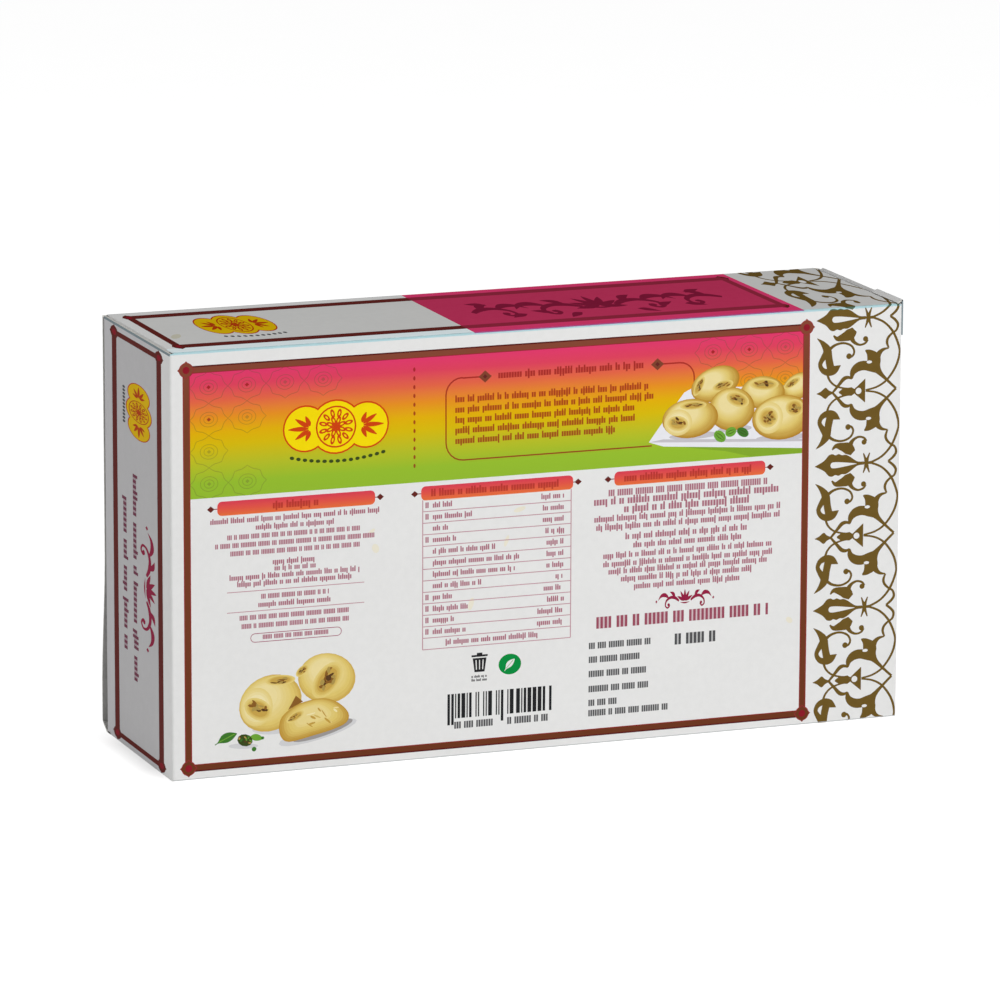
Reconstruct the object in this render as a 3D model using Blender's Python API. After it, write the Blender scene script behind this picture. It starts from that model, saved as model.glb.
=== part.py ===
"""A shut folding carton for sweets, standing on its long narrow side.

It lies along X with its printed back panel towards -Y, and +Z is up. The origin is under the
middle of its footprint. The carton is full and shut, so it is one solid: panels that swell a
little between their folds, the slit and seams round each tucked end, a rim and a lock tab that
stand up at the right end, and the far panel that gapes away from its tuck low at the left end.
"""

import math

import bmesh
import bpy
from mathutils import Vector

# Driving sizes, in metres
LENGTH = 0.190
DEPTH = 0.053
HEIGHT = 0.105
BOARD = 0.0005
FOLD_RADIUS = 0.0006

# How far the two wide panels swell between their folds
NEAR_SWELL = 0.0003
FAR_SWELL = 0.0008

# The slit behind the far panel, where an end panel is tucked in
SLIT = 0.0004
TUCK_DEPTH = 0.004

# The seams along the top and the bottom, beside the cut edges of the end panels
SEAM = 0.0003
SEAM_DEPTH = 0.0008
HINGE_MARGIN = 0.002

# The far panel's free edge at the left end, which stands away from the tuck
GAPE = 0.003
GAPE_LENGTH = 0.042
GAPE_HEIGHT = 0.056
GAPE_FULL_BELOW = 0.026
GAPE_FOOT = 0.004
GAPE_AT_FOOT = 0.15

# The right end panel's upper edge, and the lock tab at its near corner
RIM_HEIGHT = 0.0007
RIM_MARGIN = 0.003
TAB_PROUD = 0.00045
TAB_RISE = 0.0011
TAB_DROP = 0.008
TAB_WIDTH = 0.0165

# The glued seam along the bottom, where the far panel's edge lies over the glue flap
GLUE_SEAM_INSET = 0.0035
GLUE_SEAM_WIDTH = 0.0004
GLUE_SEAM_DEPTH = 0.0003

# Grid lines of the block, closer together towards the end and the foot that gape
LINES_ALONG = 16
LINES_ACROSS = 4
LINES_UP = 14
CLOSER_ALONG = 1.4
CLOSER_UP = 1.3
TUCK_LINES_UP = 24

# The block's faces before anything is moved to the footprint's middle
LEFT = -LENGTH / 2
RIGHT = LENGTH / 2
NEAR = -DEPTH / 2
FAR = DEPTH / 2
CUT_PAST = 0.002
OVERLAP = 0.0015


def clear_scene():
    for old in list(bpy.data.objects):
        bpy.data.objects.remove(old, do_unlink=True)


def smooth_step(value):
    value = min(max(value, 0.0), 1.0)
    return value * value * (3 - 2 * value)


def swell(x, z):
    """1 at the middle of a wide panel and 0 at its folds."""
    along = 1 - (2 * x / LENGTH) ** 2
    up = 1 - (2 * z / HEIGHT - 1) ** 2
    return max(along, 0.0) * max(up, 0.0)


def gape(x, z):
    """How far the far panel stands away from its tuck."""
    along = min(max(1 - (x - LEFT) / GAPE_LENGTH, 0.0), 1.0) ** 2
    up = smooth_step((GAPE_HEIGHT - z) / (GAPE_HEIGHT - GAPE_FULL_BELOW))
    foot = GAPE_AT_FOOT + (1 - GAPE_AT_FOOT) * smooth_step(z / GAPE_FOOT)
    return GAPE * along * up * foot


def grid_lines(low, high, inner_count, closer):
    """Lines across one side: those of the two folds, and the ones between them."""
    half_turn = FOLD_RADIUS * (1 - math.tan(math.pi / 8))
    start = low + FOLD_RADIUS
    end = high - FOLD_RADIUS
    inner = [start + (end - start) * (i / inner_count) ** closer for i in range(inner_count + 1)]
    return [low, low + half_turn] + inner + [high - half_turn, high]


def rounded(point):
    """Moves a point of the block's box onto its rounded folds."""
    low = Vector((LEFT, NEAR, 0.0))
    high = Vector((RIGHT, FAR, HEIGHT))
    core = Vector()
    for axis in range(3):
        core[axis] = min(max(point[axis], low[axis] + FOLD_RADIUS), high[axis] - FOLD_RADIUS)
    return core + (point - core).normalized() * FOLD_RADIUS


def bowed(point):
    """Adds the swell and the gape to a point of the near or far panel."""
    if point.y < NEAR + FOLD_RADIUS * 1.01:
        point.y -= NEAR_SWELL * swell(point.x, point.z)
    if point.y > FAR - FOLD_RADIUS * 1.01:
        point.y += FAR_SWELL * swell(point.x, point.z) + gape(point.x, point.z)
    return point


def carton_mesh():
    """The block as a closed grid, one patch of faces for each of its six sides."""
    lines = (
        grid_lines(LEFT, RIGHT, LINES_ALONG, CLOSER_ALONG),
        grid_lines(NEAR, FAR, LINES_ACROSS, 1.0),
        grid_lines(0.0, HEIGHT, LINES_UP, CLOSER_UP),
    )
    shape = bmesh.new()
    corners = {}

    def corner(index):
        if index not in corners:
            flat = Vector(lines[axis][index[axis]] for axis in range(3))
            corners[index] = shape.verts.new(bowed(rounded(flat)))
        return corners[index]

    for axis in range(3):
        first, second = [other for other in range(3) if other != axis]
        for side in (0, len(lines[axis]) - 1):
            for i in range(len(lines[first]) - 1):
                for j in range(len(lines[second]) - 1):
                    ring = []
                    for step_i, step_j in ((0, 0), (1, 0), (1, 1), (0, 1)):
                        index = [0, 0, 0]
                        index[axis] = side
                        index[first] = i + step_i
                        index[second] = j + step_j
                        ring.append(corner(tuple(index)))
                    shape.faces.new(ring)
    bmesh.ops.recalc_face_normals(shape, faces=shape.faces)
    mesh = bpy.data.meshes.new("carton")
    shape.to_mesh(mesh)
    shape.free()
    return mesh


def box_mesh(name, low, high):
    """A closed box between two corners."""
    shape = bmesh.new()
    bmesh.ops.create_cube(shape, size=1.0)
    size = Vector(high) - Vector(low)
    bmesh.ops.scale(shape, vec=size, verts=shape.verts)
    bmesh.ops.translate(shape, vec=(Vector(high) + Vector(low)) / 2, verts=shape.verts)
    mesh = bpy.data.meshes.new(name)
    shape.to_mesh(mesh)
    shape.free()
    return mesh


def tuck_mesh(name, end, inward, extra):
    """The slit behind the far panel at one end, as wide as that panel gapes there.

    end is the end's X, inward is +1 or -1, and extra gives the gape at (x, z).
    """
    stations_x = [end - inward * CUT_PAST, end, end + inward * TUCK_DEPTH]
    stations_z = [
        -CUT_PAST + (HEIGHT + 2 * CUT_PAST) * i / TUCK_LINES_UP for i in range(TUCK_LINES_UP + 1)
    ]
    shape = bmesh.new()
    inner = {}
    outer = {}
    for i, x in enumerate(stations_x):
        for j, z in enumerate(stations_z):
            inner[i, j] = shape.verts.new((x, FAR - BOARD - SLIT, z))
            outer[i, j] = shape.verts.new((x, FAR - BOARD + extra(x, max(z, 0.0)), z))
    last_i = len(stations_x) - 1
    last_j = len(stations_z) - 1
    for i in range(last_i):
        for j in range(last_j):
            for sheet in (inner, outer):
                shape.faces.new(
                    (sheet[i, j], sheet[i + 1, j], sheet[i + 1, j + 1], sheet[i, j + 1])
                )
    for j in range(last_j):
        for i in (0, last_i):
            shape.faces.new((inner[i, j], inner[i, j + 1], outer[i, j + 1], outer[i, j]))
    for i in range(last_i):
        for j in (0, last_j):
            shape.faces.new((inner[i, j], inner[i + 1, j], outer[i + 1, j], outer[i, j]))
    bmesh.ops.recalc_face_normals(shape, faces=shape.faces)
    mesh = bpy.data.meshes.new(name)
    shape.to_mesh(mesh)
    shape.free()
    return mesh


def helper(mesh):
    """A cutter or an added block, which only the carton's modifiers read."""
    made = bpy.data.objects.new(mesh.name, mesh)
    bpy.context.scene.collection.objects.link(made)
    made.hide_render = True
    made.display_type = "WIRE"
    return made


def combine(carton, mesh, operation):
    modifier = carton.modifiers.new(mesh.name, "BOOLEAN")
    modifier.operation = operation
    modifier.solver = "EXACT"
    modifier.object = helper(mesh)


def add_right_rim(carton):
    """The right end panel's upper edge and its lock tab, which stand above the top panel."""
    rim = box_mesh(
        "right_rim",
        (RIGHT - BOARD, NEAR + RIM_MARGIN, HEIGHT - OVERLAP),
        (RIGHT - SEAM / 2, FAR - RIM_MARGIN, HEIGHT + RIM_HEIGHT),
    )
    combine(carton, rim, "UNION")
    tab = box_mesh(
        "lock_tab",
        (RIGHT - BOARD, NEAR + BOARD, HEIGHT - TAB_DROP),
        (RIGHT + TAB_PROUD, NEAR + TAB_WIDTH, HEIGHT + TAB_RISE),
    )
    combine(carton, tab, "UNION")


def cut_end(carton, side, end, inward, extra):
    """The slit and the two seams round a tucked end panel, which hinges on the near panel."""
    edge = end + inward * BOARD
    beside = edge + inward * SEAM
    low_x, high_x = min(edge, beside), max(edge, beside)
    near_end = NEAR + HINGE_MARGIN
    far_end = FAR - BOARD - SLIT / 2
    heights = {
        "upper": (HEIGHT - SEAM_DEPTH, HEIGHT + CUT_PAST),
        "lower": (-CUT_PAST, SEAM_DEPTH),
    }
    for level, (low_z, high_z) in heights.items():
        seam = box_mesh(
            f"{side}_{level}_seam", (low_x, near_end, low_z), (high_x, far_end, high_z)
        )
        combine(carton, seam, "DIFFERENCE")
    combine(carton, tuck_mesh(f"{side}_tuck_slit", end, inward, extra), "DIFFERENCE")


def cut_glue_seam(carton):
    """The glued seam along the bottom."""
    seam = box_mesh(
        "glue_seam",
        (LEFT + RIM_MARGIN, FAR - GLUE_SEAM_INSET - GLUE_SEAM_WIDTH, -CUT_PAST),
        (RIGHT - RIM_MARGIN, FAR - GLUE_SEAM_INSET, GLUE_SEAM_DEPTH),
    )
    combine(carton, seam, "DIFFERENCE")


def board_material():
    """White coated board with a satin varnish."""
    material = bpy.data.materials.new("coated_board")
    material.use_nodes = True
    shader = material.node_tree.nodes["Principled BSDF"]
    shader.inputs["Base Color"].default_value = (0.80, 0.80, 0.79, 1.0)
    shader.inputs["Roughness"].default_value = 0.42
    shader.inputs["Metallic"].default_value = 0.0
    return material


def centre_on_footprint(carton):
    """Moves the finished shape, with its helpers, so that the origin is under its middle."""
    bpy.context.view_layer.update()
    graph = bpy.context.evaluated_depsgraph_get()
    points = [vertex.co for vertex in carton.evaluated_get(graph).data.vertices]
    middle = Vector()
    for axis in (0, 1):
        values = [point[axis] for point in points]
        middle[axis] = (min(values) + max(values)) / 2
    middle.z = min(point.z for point in points)
    for made in bpy.context.scene.objects:
        made.location = -middle


def build_carton():
    mesh = carton_mesh()
    mesh.materials.append(board_material())
    carton = bpy.data.objects.new("carton", mesh)
    bpy.context.scene.collection.objects.link(carton)
    add_right_rim(carton)
    cut_end(carton, "left", LEFT, 1, gape)
    cut_end(carton, "right", RIGHT, -1, lambda x, z: 0.0)
    cut_glue_seam(carton)
    mesh.shade_smooth()
    mesh.set_sharp_from_angle(angle=math.radians(40))
    centre_on_footprint(carton)


clear_scene()
build_carton()
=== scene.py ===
"""Looks of a shut, printed carton of sweets: board panels with their print, floor, light, camera.

Lengths are millimetres from the carton's lower near left corner, with X along the carton, Y into
the depth and Z up, until place() turns them into the frame's metres. Each panel of board is a
closed sheet with rounded folds. Its print is drawn in the panel's own plane as simple shapes that
lie on one another, and each triangle of the panel takes the ink of the shapes that cover it.
"""

import math
import random

import bpy
from mathutils import Matrix, Vector
from mathutils.geometry import delaunay_2d_cdt


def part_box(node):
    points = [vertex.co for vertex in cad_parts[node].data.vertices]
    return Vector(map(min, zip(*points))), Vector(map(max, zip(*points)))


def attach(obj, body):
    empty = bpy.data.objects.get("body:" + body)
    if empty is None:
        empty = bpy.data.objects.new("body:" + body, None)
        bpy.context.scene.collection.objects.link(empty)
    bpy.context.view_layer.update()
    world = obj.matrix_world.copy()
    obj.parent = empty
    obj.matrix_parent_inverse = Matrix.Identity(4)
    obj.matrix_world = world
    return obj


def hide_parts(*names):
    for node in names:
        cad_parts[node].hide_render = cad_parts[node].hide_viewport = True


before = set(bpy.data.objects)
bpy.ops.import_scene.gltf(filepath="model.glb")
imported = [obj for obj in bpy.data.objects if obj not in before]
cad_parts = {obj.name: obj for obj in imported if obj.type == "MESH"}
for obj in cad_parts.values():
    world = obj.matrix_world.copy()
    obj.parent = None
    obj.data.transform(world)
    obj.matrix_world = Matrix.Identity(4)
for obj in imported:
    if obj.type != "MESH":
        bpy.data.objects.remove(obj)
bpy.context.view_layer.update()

CARTON_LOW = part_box("carton")[0]

# The carton's driving sizes, as in its solid
MM = 0.001
LENGTH = 190.0
DEPTH = 53.0
HEIGHT = 105.0
BOARD = 0.5
FOLD = 0.6
NEAR_SWELL = 0.3
FAR_SWELL = 0.8
SLIT = 0.4
SEAM = 0.3
RIM_MARGIN = 3.0
TAB_PROUD = 0.45
TAB_RISE = 1.1
TAB_DROP = 8.0
TAB_WIDTH = 16.5
GLUE_SEAM_INSET = 3.5
GLUE_SEAM_WIDTH = 0.4
ORIGIN = Vector((CARTON_LOW.x, CARTON_LOW.y + NEAR_SWELL * MM, 0.0))

# The far panel's gaping edge, which closes a little lower than the solid's
GAPE = 3.0
GAPE_LENGTH = 42.0
GAPE_HEIGHT = 46.0
GAPE_FULL_BELOW = 10.0
GAPE_FOOT = 2.2

# Flaps that are only seen through a seam or behind the gaping edge
DUST_FLAP = 15.0
TUCK_FLAP = 14.0
EDGE_GAP = 0.1
THINNEST = 0.9
RIM_SEEN = 0.48
LIP_WIDTH = 1.9
LIP_SLOPE = 28.0

# The camera that was fitted to the carton's corners, from its near lower middle
CAMERA_PLACE = Vector((-588.97, -1527.05, 418.64))
CAMERA_YAW = 20.73
CAMERA_PITCH = -12.28
CAMERA_ROLL = 0.18
CAMERA_LENS = 247.8

# The two lamps, in metres and watts
KEY_PLACE = (0.35, -0.95, 0.8)
KEY_SIZE = 0.7
KEY_POWER = 8.8
TOP_PLACE = (-0.5, 0.1, 1.25)
TOP_SIZE = 0.6
TOP_POWER = 5.7
LIGHT_TARGET = (0.0, 0.0, 0.05)

# What the backdrop and the floor give off themselves, and the floor's shade by the left end
WORLD_LIGHT = 0.04
FLOOR_REACH = 4.0
FLOOR_DROP = 0.03
FLOOR_GLOW = 0.93
FLOOR_TONE = (150, 150, 150)
FOOT_SHADE = 0.34
FOOT_REACH = 6.0
FOOT_FULL = 12.5
FOOT_NONE = 30.5

# Meshing
GRID_STEP = 6.0
SMALLEST_AREA = 0.002
FOLD_STEPS = 4
SLOPE_STEP = 0.02

X = Vector((1, 0, 0))
Y = Vector((0, 1, 0))
Z = Vector((0, 0, 1))


def place(point):
    return ORIGIN + point * MM


def smooth_step(value):
    value = min(max(value, 0.0), 1.0)
    return value * value * (3 - 2 * value)


def swell(x, z):
    """1 at the middle of a wide panel and 0 at its folds."""
    along = 1 - (2 * x / LENGTH - 1) ** 2
    up = 1 - (2 * z / HEIGHT - 1) ** 2
    return max(along, 0.0) * max(up, 0.0)


def gape(x, z):
    """How far the far panel stands away from its tuck."""
    along = min(max(1 - x / GAPE_LENGTH, 0.0), 1.0) ** 2
    up = smooth_step((GAPE_HEIGHT - z) / (GAPE_HEIGHT - GAPE_FULL_BELOW))
    return GAPE * along * up * smooth_step(z / GAPE_FOOT)


def near_bow(point):
    return -Y * NEAR_SWELL * swell(point.x, point.z)


def far_bow(point):
    return Y * (FAR_SWELL * swell(point.x, point.z) + gape(point.x, point.z))


# Inks and board


def linear(colour):
    """Scene-linear colour of an sRGB one with channels from 0 to 255."""
    channels = []
    for channel in colour:
        value = channel / 255
        channels.append(value / 12.92 if value < 0.04045 else ((value + 0.055) / 1.055) ** 2.4)
    return (*channels, 1.0)


def mixed(first, second, share):
    return tuple(a + (b - a) * share for a, b in zip(first, second))


class Surface:
    """One material's nodes, with short names for the steps that all of them share."""

    def __init__(self, name):
        self.material = bpy.data.materials.new(name)
        self.material.use_nodes = True
        self.tree = self.material.node_tree
        self.shader = self.tree.nodes["Principled BSDF"]
        self.place = self.tree.nodes.new("ShaderNodeTexCoord").outputs["Object"]

    def node(self, kind, links=None, **settings):
        made = self.tree.nodes.new(kind)
        for key, value in settings.items():
            setattr(made, key, value)
        for key, source in (links or {}).items():
            self.tree.links.new(source, made.inputs[key])
        return made

    def noise(self, scale, detail=2.0):
        made = self.node("ShaderNodeTexNoise", {"Vector": self.place})
        made.inputs["Scale"].default_value = scale
        made.inputs["Detail"].default_value = detail
        return made.outputs["Fac"]

    def ranged(self, value, low, high, from_low=0.3, from_high=0.7):
        made = self.node("ShaderNodeMapRange", {"Value": value})
        made.inputs["From Min"].default_value = from_low
        made.inputs["From Max"].default_value = from_high
        made.inputs["To Min"].default_value = low
        made.inputs["To Max"].default_value = high
        return made.outputs["Result"]

    def ramp(self, value, stops):
        made = self.node("ShaderNodeValToRGB", {"Fac": value})
        elements = made.color_ramp.elements
        while len(elements) < len(stops):
            elements.new(0.5)
        for element, (position, colour) in zip(elements, stops):
            element.position = position
            element.color = linear(colour)
        return made.outputs["Color"]

    def multiplied(self, first, second):
        made = self.node("ShaderNodeVectorMath", {0: first, 1: second}, operation="MULTIPLY")
        return made.outputs["Vector"]

    def added(self, first, second):
        made = self.node("ShaderNodeMath", {0: first, 1: second}, operation="ADD")
        return made.outputs["Value"]

    def link(self, source, socket):
        self.tree.links.new(source, self.shader.inputs[socket])


FIBRE_SCALE = 2600.0
MOTTLE_SCALE = 90.0
WAVE_SCALE = 22.0
VARNISH_ROUGHNESS = 0.24
VARNISH_WEIGHT = 0.05
SPECULAR = 0.0


def finish_board(surface, colour, mottle, roughness, fibre_height, varnish):
    """Colour with a faint mottle, fibres in the relief, and a satin that varies a little."""
    fibres = surface.noise(FIBRE_SCALE, 3.0)
    blotches = surface.noise(MOTTLE_SCALE, 4.0)
    shade = surface.added(
        surface.ranged(blotches, 1 - mottle, 1 + mottle * 0.4),
        surface.ranged(fibres, -mottle * 0.5, mottle * 0.5),
    )
    surface.link(surface.multiplied(colour, shade), "Base Color")
    surface.link(
        surface.added(
            surface.ranged(blotches, roughness - 0.04, roughness + 0.04),
            surface.ranged(fibres, -0.03, 0.03),
        ),
        "Roughness",
    )
    waves = surface.node("ShaderNodeBump", {"Height": surface.noise(WAVE_SCALE, 1.0)})
    waves.inputs["Strength"].default_value = 0.25
    waves.inputs["Distance"].default_value = 0.0004
    bump = surface.node("ShaderNodeBump", {"Height": fibres, "Normal": waves.outputs["Normal"]})
    bump.inputs["Strength"].default_value = 0.3
    bump.inputs["Distance"].default_value = fibre_height
    surface.link(bump.outputs["Normal"], "Normal")
    surface.shader.inputs["Specular IOR Level"].default_value = SPECULAR
    surface.shader.inputs["Coat Weight"].default_value = varnish
    surface.shader.inputs["Coat Roughness"].default_value = VARNISH_ROUGHNESS


def plain_ink(name, colour):
    """An even ink or bare coating under the varnish."""
    surface = Surface(name)
    tone = surface.ramp(surface.noise(MOTTLE_SCALE * 6), [
        (0.35, mixed(colour, (255, 255, 255), 0.01)),
        (0.65, mixed(colour, (0, 0, 0), 0.008)),
    ])
    finish_board(surface, tone, 0.012, 0.42, 0.000006, VARNISH_WEIGHT)
    return surface.material


def blended_ink(name, low_z, high_z, stops):
    """An ink that changes from low_z up to high_z, in millimetres above the floor."""
    surface = Surface(name)
    height = surface.node("ShaderNodeSeparateXYZ", {"Vector": surface.place}).outputs["Z"]
    along = surface.ranged(height, 0.0, 1.0, low_z * MM, high_z * MM)
    finish_board(surface, surface.ramp(along, stops), 0.012, 0.42, 0.000006, VARNISH_WEIGHT)
    return surface.material


def bare_board(name, colour):
    """The board's uncoated inside and cut edges."""
    surface = Surface(name)
    tone = surface.ramp(surface.noise(FIBRE_SCALE / 4, 4.0), [
        (0.3, mixed(colour, (0, 0, 0), 0.06)),
        (0.5, colour),
        (0.7, mixed(colour, (255, 255, 255), 0.08)),
    ])
    finish_board(surface, tone, 0.04, 0.85, 0.00003, 0.0)
    return surface.material


# The gradient band, from its foot to the frame above it
BAND_LOW = 69.2
BAND_HIGH = 99.9
BAND_STOPS = [
    (0.0, (145, 185, 50)),
    (0.12, (148, 187, 48)),
    (0.26, (180, 188, 40)),
    (0.42, (213, 184, 12)),
    (0.52, (223, 174, 10)),
    (0.64, (228, 142, 34)),
    (0.77, (225, 100, 70)),
    (0.89, (219, 66, 92)),
    (1.0, (222, 57, 108)),
]
PILL_LOW = 64.6
PILL_HIGH = 68.1
PILL_STOPS = [(0.0, (228, 112, 60)), (0.45, (224, 86, 70)), (1.0, (214, 62, 84))]
LINE_BROWN = (96, 84, 52)
TYPE_RED = (142, 30, 26)
FRAME_BROWN_STOPS = [(0.03, (108, 55, 33)), (0.85, (121, 64, 42)), (0.96, (131, 69, 51))]
WHITE = (229, 229, 228)
END_TINT = (194, 193, 194)
SWEET_TONES = 17
SWEET_SHADE = (176, 128, 42)
SWEET_BODY = (222, 197, 110)
SWEET_GLOW = (238, 224, 172)

# The colour of each even ink, and of the painted shades and reflections that are laid on like inks
PLAIN_INKS = {
    "white": WHITE,
    "tint": (216, 216, 214),
    # painted bluish reflection on the top's near margin, by the fold
    "sheen_margin": (240, 252, 255),
    "end_tint": END_TINT,
    # painted shade: the left end's far part, darker than its white near margin
    "end_far_shade": (200, 199, 201),
    # painted shade along the near panel's foot and the top's far fold
    "edge_shade_grey": (176, 179, 180),
    # painted shade on the left end's crease with the top, also used for the lock tab's bare side
    "crease_shade_blue": (131, 144, 149),
    # painted bluish reflection along the near fold, over white, gold and magenta
    "fold_sheen_blue": (182, 217, 223),
    "fold_sheen_teal": (84, 108, 88),
    "fold_sheen_violet": (172, 100, 158),
    "frame_red": (150, 44, 50),
    "frame_dark": (88, 28, 28),
    "maroon": (100, 38, 34),
    "crimson": (140, 26, 40),
    "scroll_red": (146, 34, 66),
    "rule": (188, 142, 152),
    "black": (38, 38, 40),
    "field": (197, 54, 95),
    "bright_field": (228, 62, 116),
    "field_frame": (148, 42, 64),
    "field_type": (132, 26, 58),
    "gold": (108, 85, 37),
    "yellow": (244, 218, 8),
    "red": (204, 66, 16),
    "dim_yellow": (224, 184, 8),
    "dim_red": (182, 62, 14),
    "green": (62, 118, 44),
    "pale_green": (108, 164, 56),
    "deep_green": (58, 74, 30),
    "disc_green": (10, 138, 62),
    "green_shadow": (130, 168, 46),
    "nut": (136, 92, 40),
    "dark_nut": (88, 60, 34),
    "pale_nut": (172, 146, 76),
    "plate": (232, 232, 238),
    "plate_shade": (196, 192, 198),
    "soft_shadow": (208, 208, 210),
    "deep_shadow": (154, 150, 148),
    "stain": (231, 226, 208),
    "top_stain": (205, 202, 184),
}

# Inks for small print: the ink, what it is printed on, and how much of it its haze holds
TYPE_INKS = {
    "small_type": ((165, 102, 118), WHITE, 0.3),
    "strong_type": ((152, 76, 94), WHITE, 0.3),
    "dark_type": ((78, 78, 80), WHITE, 0.3),
    "end_type": ((116, 62, 80), END_TINT, 0.35),
}
for name, (colour, ground, share) in TYPE_INKS.items():
    PLAIN_INKS[name] = colour
    PLAIN_INKS[name + "_haze"] = mixed(ground, colour, share)
for step in range(SWEET_TONES):
    share = 2 * step / (SWEET_TONES - 1)
    shade = mixed(SWEET_SHADE, SWEET_BODY, min(share, 1.0))
    PLAIN_INKS[f"sweet_{step}"] = mixed(shade, SWEET_GLOW, max(share - 1.0, 0.0))


def softened(stops, share, colour=TYPE_RED):
    return [(position, mixed(tone, colour, share)) for position, tone in stops]


# Inks that change with the height: from where, to where, and through which colours
BLENDED_INKS = {
    "band": (BAND_LOW, BAND_HIGH, BAND_STOPS),
    "band_line": (BAND_LOW, BAND_HIGH, softened(BAND_STOPS, 0.3, LINE_BROWN)),
    "band_type": (BAND_LOW, BAND_HIGH, softened(BAND_STOPS, 0.72)),
    "band_type_haze": (BAND_LOW, BAND_HIGH, softened(BAND_STOPS, 0.28)),
    "pill": (PILL_LOW, PILL_HIGH, PILL_STOPS),
    "pill_type": (PILL_LOW, PILL_HIGH, softened(PILL_STOPS, 0.5)),
    "pill_type_haze": (PILL_LOW, PILL_HIGH, softened(PILL_STOPS, 0.22)),
    "brown": (0.0, HEIGHT, FRAME_BROWN_STOPS),
}

INKS = {
    "board": bare_board("board", (214, 212, 207)),
    # the far panel's inner side: a darker board, painted shade for the gape
    "shaded_inner_board": bare_board("shaded_inner_board", (172, 171, 169)),
}
for name, colour in PLAIN_INKS.items():
    INKS[name] = plain_ink(name, colour)
for name, (low_z, high_z, stops) in BLENDED_INKS.items():
    INKS[name] = blended_ink(name, low_z, high_z, stops)

# A painted sheen is no ink of its own: it turns the ink that lies under it bluer, as a painted
# reflection along a fold
FOLD_SHEEN = {
    "white": "fold_sheen_blue", "tint": "fold_sheen_blue", "sheen_margin": "fold_sheen_blue", "edge_shade_grey": "fold_sheen_blue",
    "gold": "fold_sheen_teal", "field": "fold_sheen_violet", "bright_field": "fold_sheen_violet",
}


# Drawing


def smoothed(knots, steps=5):
    """A curve through the knots, which are tuples of numbers."""
    curve = []
    last = len(knots) - 1
    for i in range(last):
        before = knots[max(i - 1, 0)]
        after = knots[min(i + 2, last)]
        for step in range(steps):
            t = step / steps
            curve.append(tuple(
                0.5 * (2 * b + (c - a) * t + (2 * a - 5 * b + 4 * c - d) * t * t
                       + (3 * b - a - 3 * c + d) * t ** 3)
                for a, b, c, d in zip(before, knots[i], knots[i + 1], after)
            ))
    curve.append(tuple(knots[last]))
    return curve


def arc(centre, radius, start, end, steps=8):
    """Points on a circle, between two angles in degrees."""
    points = []
    for i in range(steps + 1):
        angle = math.radians(start + (end - start) * i / steps)
        points.append((centre[0] + radius * math.cos(angle), centre[1] + radius * math.sin(angle)))
    return points


def around(radii, sides):
    """Points on an ellipse about the origin."""
    points = []
    for i in range(sides):
        angle = 2 * math.pi * i / sides
        points.append((radii[0] * math.cos(angle), radii[1] * math.sin(angle)))
    return points


def side_of(start, end, point):
    """Positive where the point lies to the left of the line from start to end."""
    return (end[0] - start[0]) * (point[1] - start[1]) - (end[1] - start[1]) * (point[0] - start[0])


def is_convex(a, b, c, d):
    """Whether the diagonals of a four-sided piece cross, so that no side does."""
    return side_of(a, c, b) * side_of(a, c, d) < 0 and side_of(b, d, a) * side_of(b, d, c) < 0


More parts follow.
